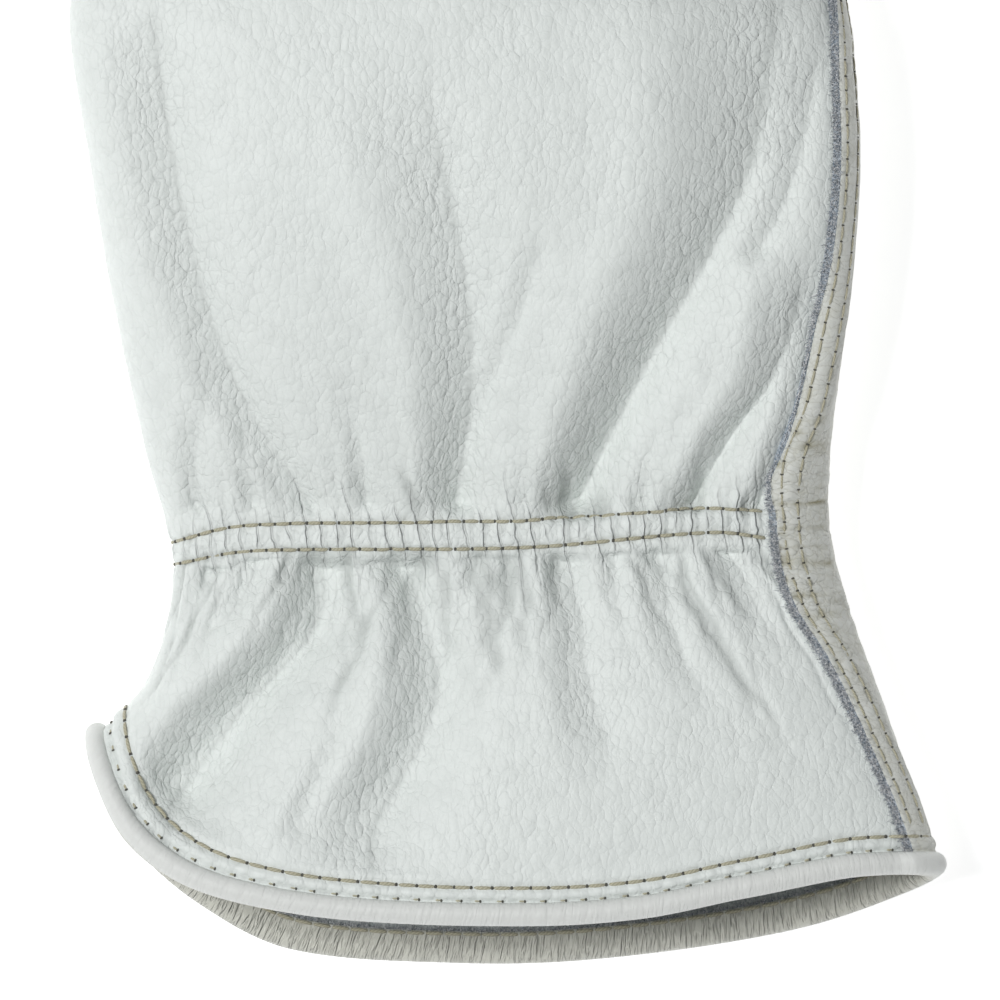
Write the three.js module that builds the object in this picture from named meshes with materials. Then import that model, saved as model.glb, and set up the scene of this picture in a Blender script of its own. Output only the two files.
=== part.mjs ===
// A right-hand leather driving glove with a shirred wrist, lying palm down on a table.
// Millimetres. X runs towards the little finger, Y towards the fingertips, Z up from the table.
// The origin is under the wrist, on the table.
import * as THREE from "three";

// Driving dimensions of the whole glove
const palmWidth = 113.5;
const wristWidth = 96;
const cuffWidth = 121;
const handHeight = 37;
const wristHeight = 21.5;
const cuffHeight = 25;
const handLength = 108;
const cuffLength = 55;
const fingerLength = 86;
const fingerWidth = 25.5;
const fingerHeight = 20;

// Hide, seams and hem
const hide = 1;
const seamGap = 0.3;
const lapCover = 5;
const lapRamp = 4;
const bindingHide = 1;
const bindingLip = 1.5;
const crotchTurn = 1.5;
const forkSpread = 0.72;
const crotchTuck = 0.14;
const tipParting = 1.5;

// Thumb
const thumbLength = 76;
const thumbWidth = 21.5;
const thumbHeight = 14.5;

// Rows of a table, with each value under the name of its column
function table(names, rows) {
  const columns = names.split(" ");
  return rows.map((row) => Object.fromEntries(row.map((value, c) => [columns[c], value])));
}

// Sections across the hand, from the hem (along -1) over the wrist (0) to the finger crotches (1).
// left and right are shares of the named width, rise is a share of the named height, and edgeLeft and
// edgeRight are how high the side folds lie, as shares of that rise. under is how late the left
// underside comes down to the table: the thumb lies beneath it where under is large.
const SECTIONS = table("along width left right height rise edgeLeft edgeRight under", [
  [-1, cuffWidth, -0.478, 0.522, cuffHeight, 0.98, 0.5, 0.5, 1],
  [-0.8, cuffWidth, -0.434, 0.5, cuffHeight, 1, 0.48, 0.48, 0.9],
  [-0.55, cuffWidth, -0.405, 0.464, cuffHeight, 0.98, 0.46, 0.46, 0.8],
  [-0.25, wristWidth, -0.49, 0.526, wristHeight, 1.06, 0.45, 0.45, 0.8],
  [0, wristWidth, -0.497, 0.492, wristHeight, 1, 0.45, 0.45, 0.8],
  [0.1, wristWidth, -0.528, 0.49, wristHeight, 1.18, 0.45, 0.44, 0.8],
  [0.3, palmWidth, -0.488, 0.44, handHeight, 0.88, 0.47, 0.42, 1.2],
  [0.5, palmWidth, -0.521, 0.452, handHeight, 0.99, 0.55, 0.42, 2.2],
  [0.714, palmWidth, -0.546, 0.441, handHeight, 1, 0.62, 0.42, 3.8],
  [0.87, palmWidth, -0.53, 0.432, handHeight, 0.93, 0.64, 0.42, 3.8],
  [1, palmWidth, -0.5, 0.425, handHeight, 0.8, 0.6, 0.42, 2],
]);

// How far the hem reaches round the girth, as shares of cuffLength. girth runs from the left fold (0)
// over the back (0.25) to the right fold (0.5) and under the palm (0.75) to the left fold again.
const HEM = table("girth reach", [
  [0, 0.535],
  [0.03, 0.63],
  [0.065, 0.776],
  [0.103, 0.884],
  [0.14, 0.945],
  [0.19, 0.988],
  [0.258, 1],
  [0.3, 0.98],
  [0.34, 0.93],
  [0.404, 0.872],
  [0.5, 0.884],
  [0.56, 0.93],
  [0.64, 1.018],
  [0.72, 1.088],
  [0.77, 1.097],
  [0.84, 1.06],
  [0.885, 0.955],
  [0.93, 0.8],
  [0.97, 0.62],
  [1, 0.535],
]);

// Where the raw edge of the lap lies on the back, as a share of the girth
const LAP = table("along girth", [
  [-1, 0.443],
  [-0.7, 0.43],
  [-0.4, 0.417],
  [-0.2, 0.402],
  [0, 0.403],
  [0.09, 0.407],
  [0.18, 0.424],
  [0.4, 0.439],
  [0.7, 0.453],
  [1, 0.455],
]);

// Folds of the back that run into the wrist gathers: a row follows one valley (depth below 0) or
// ridge from its wrist end to its free end. depth is in shares of handHeight, breadth of palmWidth.
const FOLDS = table("name wristGirth midGirth endGirth from to depth breadth", [
  ["broad left furrow", 0.124, 0.103, 0.113, 0.01, 0.72, -0.055, 0.05],
  ["left ridge", 0.165, 0.183, 0.17, 0.02, 0.56, 0.03, 0.035],
  ["left crease", 0.144, 0.141, 0.137, 0.01, 0.2, -0.035, 0.02],
  ["inner crease", 0.192, 0.19, 0.178, 0.01, 0.22, -0.045, 0.02],
  ["middle valley", 0.232, 0.233, 0.222, 0.01, 0.52, -0.035, 0.03],
  ["middle ridge", 0.258, 0.27, 0.285, 0.01, 0.5, 0.04, 0.04],
  ["great right valley", 0.287, 0.333, 0.401, 0.01, 0.66, -0.09, 0.034],
  ["right ridge", 0.318, 0.355, 0.399, 0.01, 0.5, 0.05, 0.03],
  ["right valley", 0.342, 0.367, 0.385, 0.01, 0.17, -0.05, 0.02],
  ["cuff left ridge", 0.12, 0.067, 0.015, -0.04, -0.66, 0.05, 0.04],
  ["cuff left valley", 0.166, 0.125, 0.07, -0.04, -0.78, -0.055, 0.035],
  ["cuff inner ridge", 0.18, 0.165, 0.139, -0.04, -0.66, 0.045, 0.035],
  ["cuff middle valley", 0.215, 0.208, 0.182, -0.04, -0.62, -0.05, 0.03],
  ["cuff middle ridge", 0.252, 0.247, 0.24, -0.04, -0.5, 0.045, 0.03],
  ["cuff right valley", 0.28, 0.283, 0.291, -0.04, -0.5, -0.045, 0.028],
  ["cuff right crease", 0.314, 0.33, 0.352, -0.03, -0.5, -0.05, 0.024],
  ["cuff right ridge", 0.338, 0.358, 0.382, -0.04, -0.44, 0.045, 0.026],
]);

// Fingers from the index to the little one. centre is a share of palmWidth, the sizes are shares of
// the named finger sizes, fan is in degrees, lift is how high the root arches above the table as a
// share of fingerHeight, and the counts are the strips of hide across the finger.
const FINGERS = table("name centre width height length fan lift backEdge palmEdge back palm", [
  ["index", -0.383, 1, 1, 0.92, -6, 0.42, -0.05, 0.95, 12, 8],
  ["middle", -0.146, 1.02, 1.03, 1, -1.5, 0.14, 0.166, 0.834, 8, 5],
  ["ring", 0.093, 1, 1, 0.93, 3, 0.05, 0.25, 0.75, 8, 5],
  ["little", 0.324, 0.92, 0.9, 0.74, 8, 0, 0.333, 0.667, 8, 6],
]);

// How far up the hand the crotches lie, from the thumb side to the outer edge, as shares of handLength
const CROTCHES = [0.94, 1, 1, 0.95, 0.86];

// Rows of the hide along the hand and along the fingers
const CUFF_ROWS = [-1, -0.91, -0.79, -0.66, -0.53, -0.4, -0.27, -0.15, -0.05];
const PALM_ROWS = [0.02, 0.09, 0.18, 0.28, 0.38, 0.48, 0.58, 0.68, 0.78, 0.86, 0.93, 1];
const HAND_ROWS = [...CUFF_ROWS, ...PALM_ROWS];
const FINGER_ROWS = [0.04, 0.12, 0.27, 0.43, 0.6, 0.75, 0.87, 0.96, 1];

// The thumb's hole in the palm: the strips of the index side and the rows that it takes
const thumbHole = { firstStrip: 2, lastStrip: 7, firstRow: 13, lastRow: 17 };

// Centre line of the thumb from its hole to its tip, as shares of palmWidth, thumbLength and thumbHeight
const THUMB_PATH = table("along right up", [
  [0.1, -0.448, 0.62],
  [0.286, -0.455, 0.53],
  [0.457, -0.5, 0.51],
  [0.602, -0.613, 0.51],
  [0.747, -0.71, 0.51],
  [0.885, -0.802, 0.51],
]);

const leather = new THREE.MeshStandardMaterial({ color: 0xdfe3e0, roughness: 0.62, metalness: 0 });
const palmLeather = new THREE.MeshStandardMaterial({ color: 0xcfd0cb, roughness: 0.66, metalness: 0 });
const hemLeather = new THREE.MeshStandardMaterial({ color: 0xd6dad7, roughness: 0.6, metalness: 0 });

const lerp = THREE.MathUtils.lerp;
const smooth = THREE.MathUtils.smoothstep;
const radians = THREE.MathUtils.degToRad;
const turn = 2 * Math.PI;

// A signed power, which squares up a sine or cosine into a fuller section
function fuller(value, power) {
  return Math.sign(value) * Math.pow(Math.abs(value), power);
}

// A smooth curve through a column of a table, by cubic pieces whose slopes are the mean slopes of the rows
function follow(table, key, column, at) {
  const last = table.length - 1;
  const value = (row) => table[row][column];
  const place = (row) => table[row][key];
  const clamped = THREE.MathUtils.clamp(at, place(0), place(last));
  let row = 0;
  while (row < last - 1 && clamped > place(row + 1)) row += 1;
  const step = place(row + 1) - place(row);
  const slope = (r) => {
    const before = Math.max(r - 1, 0);
    const after = Math.min(r + 1, last);
    return (value(after) - value(before)) / (place(after) - place(before));
  };
  const t = (clamped - place(row)) / step;
  const rise = value(row + 1) - value(row);
  const start = slope(row) * step;
  const end = slope(row + 1) * step;
  return value(row) + t * start + t * t * (3 * rise - 2 * start - end) + t * t * t * (start + end - 2 * rise);
}

// The section tables in millimetres
const sections = SECTIONS.map((row) => ({
  along: row.along,
  left: row.left * row.width + hide / 2,
  right: row.right * row.width - hide / 2,
  top: row.rise * row.height,
  edgeLeft: row.edgeLeft * row.rise * row.height,
  edgeRight: row.edgeRight * row.rise * row.height,
  under: row.under,
}));

// Height that the folds add to the back at a girth and a place along the hand
function foldHeight(girth, along) {
  let height = 0;
  for (const fold of FOLDS) {
    const share = (along - fold.from) / (fold.to - fold.from);
    if (share <= 0 || share >= 1) continue;
    const bow = 4 * share * (1 - share);
    const straight = lerp(fold.wristGirth, fold.endGirth, share);
    const path = straight + bow * (fold.midGirth - (fold.wristGirth + fold.endGirth) / 2);
    const aside = (Math.cos(turn * path) - Math.cos(turn * girth)) / 2 / fold.breadth;
    const fade = smooth(share, 0, 0.12) * Math.pow(1 - share, 0.7);
    height += fold.depth * handHeight * fade * Math.exp(-aside * aside);
  }
  return height;
}

// The middle surface of the hide round the cuff and hand, before it parts into fingers
function handPoint(girth, along, forward) {
  const left = follow(sections, "along", "left", along);
  const right = follow(sections, "along", "right", along);
  const top = follow(sections, "along", "top", along) - hide / 2;
  const angle = turn * girth;
  const across = (1 - Math.cos(angle)) / 2;
  const edgeLeft = follow(sections, "along", "edgeLeft", along);
  const edgeRight = follow(sections, "along", "edgeRight", along);
  const edge = lerp(edgeLeft, edgeRight, smooth(across, 0.1, 0.9));
  const sine = Math.sin(angle);
  let up = edge + (top - edge) * fuller(sine, 0.85);
  if (sine < 0) {
    const under = lerp(follow(sections, "along", "under", along), 0.8, smooth(across, 0.35, 0.6));
    up = edge * (1 - 1.2 * Math.pow(-sine, under));
    up = Math.max(up, hide / 2);
  } else {
    up += foldHeight(girth, along) * Math.pow(sine, 0.6);
  }
  const nearHem = smooth(-along, 0.8, 1);
  up += nearHem * (bindingOuter() - hide / 2) * smooth(-sine, -0.2, 0.6) * smooth(-up, -6, 0);
  const reach = along < 0 ? cuffLength * follow(HEM, "girth", "reach", girth - Math.floor(girth)) : forward;
  return new THREE.Vector3(lerp(left, right, across), along * reach, up);
}

// Half of the slot that the binding leaves for the hide, and its outer radius
function bindingInner() {
  return hide / 2 + seamGap;
}
function bindingOuter() {
  return bindingInner() + bindingHide;
}

// How a finger widens towards its crotch so that it meets its neighbour, and the limit that keeps
// the two walls of a fork apart
function sideLimit(index, side, t) {
  const own = FINGERS[index];
  const other = FINGERS[index + side];
  const spread = (f) => f.centre * palmWidth + Math.sin(radians(f.fan)) * f.length * fingerLength * t;
  return other ? Math.abs(spread(other) - spread(own)) / 2 : Infinity;
}

// Half angle that the fork strip covers on the side of a finger
function forkAngle(t) {
  return forkSpread * Math.sqrt(Math.max(1 - Math.pow(t / 0.965, 3), 0));
}

// The middle surface of the hide round a finger at an angle from its right side over its top
function fingerPoint(index, angle, t) {
  const finger = FINGERS[index];
  const narrow = 1 - 0.14 * t;
  const tipWidth = 1 - 0.62 * Math.pow(smooth(t, 0.7, 1.12) / smooth(1, 0.7, 1.12), 2) * (t > 0.7 ? 1 : 0);
  const tipHeight = Math.sqrt(Math.max(1 - Math.pow(Math.max((t - 0.7) / 0.3, 0), 2), 0));
  const halfWidth = (finger.width * fingerWidth - hide) / 2 * narrow * tipWidth;
  const fullHeight = (finger.height * fingerHeight - hide) / 2 * narrow;
  const halfHeight = fullHeight * tipHeight;
  const cosine = Math.cos(angle);
  const side = cosine > 0 ? 1 : -1;
  const limit = sideLimit(index, side, Math.max(t, 0));
  let aside = halfWidth * Math.pow(Math.abs(cosine), 0.75);
  if (limit !== Infinity) {
    const seam = halfWidth * Math.pow(Math.cos(forkSpread), 0.75);
    const stretch = lerp(limit / seam, 1, smooth(t, 0, 0.12));
    const apart = crotchTurn * smooth(t, 0, 0.05);
    aside = Math.min(aside * stretch, limit - apart);
  }
  const fromLeft = (1 + cosine) / 2;
  const crotch = handLength * lerp(CROTCHES[index], CROTCHES[index + 1], fromLeft);
  const level = handLength * (CROTCHES[index] + CROTCHES[index + 1]) / 2;
  const start = lerp(crotch, level, smooth(t, 0.02, 0.3));
  const reach = finger.length * fingerLength * Math.max(t, 0);
  const fan = radians(finger.fan);
  const lift = finger.lift * fingerHeight * Math.pow(1 - Math.max(t, 0), 2);
  const middle = (finger.height * fingerHeight) / 2 + seamGap + lift;
  return new THREE.Vector3(
    finger.centre * palmWidth + Math.sin(fan) * reach + Math.cos(fan) * side * aside,
    start + Math.cos(fan) * reach - Math.sin(fan) * side * aside * smooth(t, 0, 0.3),
    middle + halfHeight * fuller(Math.sin(angle), 0.75),
  );
}

// One point of the hide: column gives the finger it runs to, its girth on the hand and its angle on
// the finger. Rows up to 1 lie on the hand, and rows above 1 are 1 plus the share of the finger.
function hidePoint(column, row, shift) {
  const t = row - 1;
  const angle = column.angle(Math.max(t, 0));
  const finger = fingerPoint(column.finger, angle, Math.max(t, 0));
  finger.z += shift * lerp(column.seam, tipParting, smooth(t, 0.8, 1));
  if (row >= 1) return finger;
  const forward = lerp(handLength, finger.y, smooth(row, 0.3, 1));
  const hand = handPoint(column.girth(row), row, forward);
  const blend = smooth(row, 0.7, 1);
  hand.x = lerp(hand.x, finger.x, blend);
  hand.z = lerp(hand.z, finger.z, blend);
  return hand;
}

// Girth share of one millimetre along the surface at a girth
function girthPerMm(girth, along) {
  const step = 0.004;
  const before = handPoint(girth - step, along, 0);
  const after = handPoint(girth + step, along, 0);
  before.y = after.y;
  return (2 * step) / before.distanceTo(after);
}

// Girth shares from one to another that part the girth of a plain oval hand evenly
function evenGirths(from, to, count) {
  const samples = 240;
  const lengths = [0];
  for (let i = 0; i < samples; i += 1) {
    const angle = turn * lerp(from, to, (i + 0.5) / samples);
    const speed = Math.hypot(palmWidth * Math.sin(angle), handHeight * 1.3 * Math.cos(angle));
    lengths.push(lengths[i] + speed);
  }
  return Array.from({ length: count + 1 }, (_, k) => {
    const wanted = (lengths[samples] * k) / count;
    let i = 0;
    while (i < samples - 1 && lengths[i + 1] < wanted) i += 1;
    return lerp(from, to, (i + (wanted - lengths[i]) / (lengths[i + 1] - lengths[i])) / samples);
  });
}

const lapGirth = (along) => follow(LAP, "along", "girth", Math.min(along, 1));
const underLap = (along, share) => lapGirth(along) + share * lapCover * girthPerMm(lapGirth(along), along);
const leftSeamAngle = Math.PI * 1.11;
const lapAngle = 0.5;
const littleRadius = (FINGERS[3].height * fingerHeight) / 2;
const underLapAngle = (share) => lapAngle - (share * lapCover) / littleRadius;
const seamHalf = seamGap / 2;

// Columns of the back, from the seam under the left fold to the edge hidden under the lap
function backColumns() {
  const columns = [];
  FINGERS.forEach((finger, index) => {
    const last = index === FINGERS.length - 1;
    const end = last ? 0.44 : FINGERS[index + 1].backEdge;
    const girths = evenGirths(finger.backEdge, end, finger.back);
    girths.forEach((girth, k) => {
      const share = k / finger.back;
      const lapShare = (girth - finger.backEdge) / (end - finger.backEdge);
      const leftAngle = (t) => (index === 0 ? leftSeamAngle : Math.PI - forkAngle(t));
      const rightAngle = (t) => (last ? lapAngle : forkAngle(t));
      columns.push({
        finger: index,
        strip: k,
        girth: last ? (along) => lerp(finger.backEdge, lapGirth(along), lapShare) : () => girth,
        angle: (t) => lerp(leftAngle(t), rightAngle(t), share),
        seam: last ? 1 - smooth(share, 0.5, 1) : 1,
        raise: 0,
      });
    });
    if (!last) return;
    for (const share of [0.5, 1]) {
      columns.push({
        finger: index,
        strip: finger.back + share * 2,
        girth: (along) => underLap(along, share),
        angle: () => underLapAngle(share),
        seam: 0,
        raise: 0,
      });
    }
  });
  columns[0].girth = (along) => FINGERS[0].backEdge + seamHalf * girthPerMm(FINGERS[0].backEdge, along);
  return columns;
}

// Columns of the palm, from the raw lap edge on the back round the right fold to the left seam
function palmColumns() {
  const columns = [];
  const raised = hide + seamGap;
  const rampGirth = (along) => underLap(along, (lapCover + lapRamp) / lapCover);
  const rampAngle = underLapAngle((lapCover + lapRamp) / lapCover);
  for (const share of [0, 0.5, 1.02]) {
    columns.push({
      finger: 3,
      strip: -3 + Math.round(share * 2),
      girth: (along) => underLap(along, share),
      angle: () => underLapAngle(share),
      seam: 0,
      raise: raised,
    });
  }
  for (let index = FINGERS.length - 1; index >= 0; index -= 1) {
    const finger = FINGERS[index];
    const last = index === FINGERS.length - 1;
    const start = last ? 0.5 : FINGERS[index + 1].palmEdge;
    const girths = evenGirths(start, finger.palmEdge, finger.palm);
    girths.forEach((girth, k) => {
      const share = k / finger.palm;
      const girthShare = (girth - start) / (finger.palmEdge - start);
      const rightAngle = (t) => (last ? rampAngle : -forkAngle(t));
      const leftAngle = (t) => (index === 0 ? leftSeamAngle - turn : forkAngle(t) - Math.PI);
      columns.push({
        finger: index,
        strip: k,
        girth: last ? (along) => lerp(rampGirth(along), finger.palmEdge, girthShare) : () => girth,
        angle: (t) => lerp(rightAngle(t), leftAngle(t), share),
        seam: last ? smooth(share, 0, 0.4) : 1,
        raise: 0,
      });
    });
  }
  const end = columns[columns.length - 1];
  end.girth = (along) => FINGERS[0].palmEdge - seamHalf * girthPerMm(FINGERS[0].palmEdge, along);
  return columns;
}

// Cells of hide with shared corners become one closed wall of the hide's thickness. Each corner is
// pushed out and in along the mean of its cells' normals, and the rims are closed. raise lifts a corner.
function hideWall(corners, cells, thickness) {
  const normals = new Map();
  corners.forEach((corner, name) => normals.set(name, new THREE.Vector3()));
  const edges = new Map();
  for (const cell of cells) {
    const [a, b, c, d] = cell.map((name) => corners.get(name).point);
    const normal = c.clone().sub(a).cross(d.clone().sub(b)).normalize();
    cell.forEach((name) => normals.get(name).add(normal));
    cell.forEach((name, k) => {
      const next = cell[(k + 1) % 4];
      const back = next + "|" + name;
      if (edges.has(back)) edges.delete(back);
      else edges.set(name + "|" + next, [name, next]);
    });
  }
  const positions = [];
  const outer = new Map();
  const inner = new Map();
  normals.forEach((normal, name) => {
    if (normal.lengthSq() === 0) return;
    normal.normalize();
    const corner = corners.get(name);
    const lifted = corner.point.clone().addScaledVector(normal, corner.raise || 0);
    outer.set(name, positions.length / 3);
    positions.push(...lifted.clone().addScaledVector(normal, thickness / 2).toArray());
    inner.set(name, positions.length / 3);
    positions.push(...lifted.clone().addScaledVector(normal, -thickness / 2).toArray());
  });
  const faces = [];
  for (const [a, b, c, d] of cells) {
    const [oa, ob, oc, od] = [a, b, c, d].map((name) => outer.get(name));
    const [ia, ib, ic, id] = [a, b, c, d].map((name) => inner.get(name));
    faces.push(oa, ob, oc, oa, oc, od, ia, ic, ib, ia, id, ic);
  }
  edges.forEach(([from, to]) => {
    faces.push(outer.get(to), outer.get(from), inner.get(from));
    faces.push(outer.get(to), inner.get(from), inner.get(to));
  });
  return meshGeometry(positions, faces);
}

function meshGeometry(positions, faces) {
  const geometry = new THREE.BufferGeometry();
  geometry.setAttribute("position", new THREE.Float32BufferAttribute(positions, 3));
  geometry.setIndex(faces);
  geometry.computeVertexNormals();
  return geometry;
}

// The corners and cells of a panel: one grid over the cuff and hand that parts into fingers
function panelWall(columns, shift, skip) {
  const corners = new Map();
  const rows = [...HAND_ROWS, ...FINGER_ROWS.map((t) => 1 + t)];
  const cells = [];
  const name = (c, r) => {
    const column = columns[c];
    const twin = c > 0 && columns[c - 1].finger !== column.finger && r < HAND_ROWS.length;
    return (twin ? c - 1 : c) + ":" + r;
  };
  columns.forEach((column, c) => {
    rows.forEach((row, r) => {
      if (corners.has(name(c, r))) return;
      const point = hidePoint(column, row, shift);
      corners.set(name(c, r), { point, raise: column.raise * (1 + 0.4 * smooth(row, 1.75, 2)) });
    });
  });
  for (let c = 0; c + 1 < columns.length; c += 1) {
    if (columns[c].finger !== columns[c + 1].finger) continue;
    for (let r = 0; r + 1 < rows.length; r += 1) {
      if (skip(columns[c], r)) continue;
      const cell = [name(c, r), name(c + 1, r), name(c + 1, r + 1), name(c, r + 1)];
      cells.push(cell);
    }
  }
  return hideWall(corners, cells, hide);
}

// A fork runs from one fingertip down to the crotch and up the neighbour's side
function forkWall(index) {
  const corners = new Map();
  const cells = [];
  const across = 4;
  const legs = FINGER_ROWS.slice(0, -1);
  const rows = [...legs.map((t) => -t).reverse(), 0, ...legs];
  rows.forEach((row, r) => {
    const t = Math.abs(row);
    const angle = forkAngle(t) - lerp(crotchTuck, 0.02, smooth(t, 0.02, 0.25)) * (t < 0.9 ? 1 : 0);
    for (let k = 0; k <= across; k += 1) {
      const tilt = lerp(-angle, angle, k / across);
      const point = row <= 0
        ? fingerPoint(index, tilt, t)
        : fingerPoint(index + 1, Math.PI - tilt, t);
      corners.set(r + ":" + k, { point });
    }
  });
  for (let r = 0; r + 1 < rows.length; r += 1) {
    for (let k = 0; k < across; k += 1) {
      cells.push([r + ":" + k, r + 1 + ":" + k, r + 1 + ":" + (k + 1), r + ":" + (k + 1)].reverse());
    }
  }
  return hideWall(corners, cells, hide);
}

// The rim of the thumb's hole, set inside the palm's cut edge by half a hide and the seam gap
function thumbRim(columns) {
  const inset = hide / 2 + 1.5 * seamGap;
  const index = columns.filter((column) => column.finger === 0);
  const first = index[thumbHole.firstStrip];
  const last = index[thumbHole.lastStrip];
  const low = HAND_ROWS[thumbHole.firstRow] + inset / handLength;
  const high = HAND_ROWS[thumbHole.lastRow] - inset / handLength;
  const corner = (column, row) => {
    const girth = THREE.MathUtils.clamp(
      column.girth(row),
      first.girth(row) + inset * girthPerMm(first.girth(row), row),
      last.girth(row) - inset * girthPerMm(last.girth(row), row),
    );
    return hidePoint({ ...column, girth: () => girth }, row, -seamGap);
  };
  const rows = HAND_ROWS.slice(thumbHole.firstRow, thumbHole.lastRow + 1);
  const inside = rows.map((row) => THREE.MathUtils.clamp(row, low, high));
  const strips = index.slice(thumbHole.firstStrip, thumbHole.lastStrip + 1);
  const rim = [];
  inside.forEach((row) => rim.push(corner(first, row)));
  strips.slice(1, -1).forEach((column) => rim.push(corner(column, high)));
  inside.slice().reverse().forEach((row) => rim.push(corner(last, row)));
  strips.slice(1, -1).reverse().forEach((column) => rim.push(corner(column, low)));
  return rim;
}

// The thumb is a tube with a closed tip, from the rim of its hole to rings round its centre line
function thumbGeometry(columns) {
  const rim = thumbRim(columns);
  const count = rim.length;
  const path = new THREE.CatmullRomCurve3(THUMB_PATH.map((row) => new THREE.Vector3(
    row.right * palmWidth,
    handLength * 0.47 + row.along * thumbLength,
    row.up * thumbHeight,
  )));
  const stations = [0, 0.1, 0.22, 0.36, 0.52, 0.68, 0.82, 0.92, 0.98];
  const rings = [rim];
  const firstTurn = radians(-62);
  stations.slice(1).forEach((s) => {
    const centre = path.getPoint(s);
    const ahead = path.getTangent(s);
    const right = new THREE.Vector3(ahead.y, -ahead.x, 0).normalize();
    const blunt = Math.sqrt(Math.max(1 - Math.pow(Math.max((s - 0.78) / 0.225, 0), 2), 0));
    const narrow = (1 - 0.12 * s) * blunt;
    const blend = smooth(s, 0, 0.34);
    rings.push(rim.map((start, k) => {
      const angle = firstTurn + (turn * k) / count;
      const ring = centre.clone()
        .addScaledVector(right, ((thumbWidth - hide) / 2) * narrow * Math.cos(angle));
      ring.z += ((thumbHeight - hide) / 2) * narrow * Math.sin(angle);
      return start.clone().lerp(ring, blend);
    }));
  });
  const tip = path.getPoint(1);
  const corners = new Map();
  const cells = [];
  rings.forEach((ring, r) => ring.forEach((point, k) => corners.set(r + ":" + k, { point })));
  for (let r = 0; r + 1 < rings.length; r += 1) {
    for (let k = 0; k < count; k += 1) {
      const next = (k + 1) % count;
      cells.push([r + ":" + k, r + ":" + next, r + 1 + ":" + next, r + 1 + ":" + k]);
    }
  }
  const wall = hideWall(corners, cells, hide);
  return closeTip(wall, rings.length, count, tip, path.getTangent(1));
}

// Replaces the flat rim at the last ring by an outer and an inner fan to the tip
function closeTip(geometry, ringCount, count, tip, ahead) {
  const positions = Array.from(geometry.getAttribute("position").array);
  const index = Array.from(geometry.getIndex().array);
  const outer = (k) => 2 * ((ringCount - 1) * count + k);
  const isEnd = (v) => v >= outer(0) && v < outer(count);
  const kept = [];
  for (let i = 0; i < index.length; i += 3) {
    const face = index.slice(i, i + 3);
    if (!face.every(isEnd)) kept.push(...face);
  }
  const outerTip = positions.length / 3;
  positions.push(...tip.clone().addScaledVector(ahead, hide / 2).toArray());
  positions.push(...tip.clone().addScaledVector(ahead, -hide / 2).toArray());
  for (let k = 0; k < count; k += 1) {
    const a = outer(k);
    const b = outer((k + 1) % count);
    kept.push(a, b, outerTip, b + 1, a + 1, outerTip + 1);
  }
  return meshGeometry(positions, kept);
}

// Columns without the first one of each finger after the index, whose corners the last finger shares
function sharedColumns(columns) {
  return columns.filter((column, c) => c === 0 || column.finger === columns[c - 1].finger);
}

// The section of the binding: a U of hide open towards the wrist, as steps in and out of the cuff
function bindingProfile(inner) {
  const outer = inner + bindingHide;
  const profile = [[bindingLip, inner + bindingHide / 2]];
  for (let i = 0; i <= 4; i += 1) {
    const angle = lerp(radians(80), radians(280), i / 4);
    profile.push([outer * Math.cos(angle), outer * Math.sin(angle)]);
  }
  profile.push([bindingLip, -inner - bindingHide / 2], [bindingLip, -inner]);
  for (let i = 0; i <= 3; i += 1) {
    const angle = lerp(radians(270), radians(90), i / 3);
    profile.push([inner * Math.cos(angle), inner * Math.sin(angle)]);
  }
  profile.push([bindingLip, inner]);
  return profile;
}

// The hem binding: a strip of hide rolled into a U round the edge of the cuff, all the way round. It
// grows where it passes over the lap of the two panels.
function bindingGeometry(back, palm) {
  const grown = (hide + seamGap) / 2;
  const overBack = sharedColumns(back.slice(0, -2)).slice(1);
  const stations = [...overBack, ...sharedColumns(palm).slice(1)];
  const centres = stations.map((column) => hidePoint(column, HAND_ROWS[0], 0));
  const insides = stations.map((column) => hidePoint(column, HAND_ROWS[1], 0));
  const count = stations.length;
  const lapStart = overBack.length - 1;
  const positions = [];
  const faces = [];
  const ringSize = bindingProfile(bindingInner()).length;
  centres.forEach((centre, k) => {
    const tangent = centres[(k + 1) % count].clone().sub(centres[(k + count - 1) % count]);
    const inward = insides[k].clone().sub(centre).normalize();
    const outward = tangent.cross(inward).normalize();
    const growth = k >= lapStart && k <= lapStart + 2 ? grown : 0;
    const middle = centre.clone().addScaledVector(outward, growth);
    for (const [along, out] of bindingProfile(bindingInner() + growth)) {
      const point = middle.clone().addScaledVector(inward, along).addScaledVector(outward, out);
      positions.push(...point.toArray());
    }
  });
  for (let k = 0; k < count; k += 1) {
    const ring = k * ringSize;
    const next = ((k + 1) % count) * ringSize;
    for (let i = 0; i < ringSize; i += 1) {
      const after = (i + 1) % ringSize;
      faces.push(ring + i, ring + after, next + after, ring + i, next + after, next + i);
    }
  }
  return meshGeometry(positions, faces);
}

const back = backColumns();
const palm = palmColumns();
const inThumbHole = (column, row) =>
  column.finger === 0 &&
  column.strip >= thumbHole.firstStrip &&
  column.strip < thumbHole.lastStrip &&
  row >= thumbHole.firstRow &&
  row < thumbHole.lastRow;

const glove = new THREE.Group();
glove.name = "driving_glove";

function addPiece(name, geometry, material) {
  const mesh = new THREE.Mesh(geometry, material);
  mesh.name = name;
  glove.add(mesh);
}

addPiece("back_panel", panelWall(back, seamGap, () => false), leather);
addPiece("palm_panel", panelWall(palm, -seamGap, inThumbHole), palmLeather);
addPiece("fork_index_middle", forkWall(0), leather);
addPiece("fork_middle_ring", forkWall(1), leather);
addPiece("fork_ring_little", forkWall(2), leather);
addPiece("thumb", thumbGeometry(palm), palmLeather);
addPiece("hem_binding", bindingGeometry(back, palm), hemLeather);

export default glove;
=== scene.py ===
import math

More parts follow.
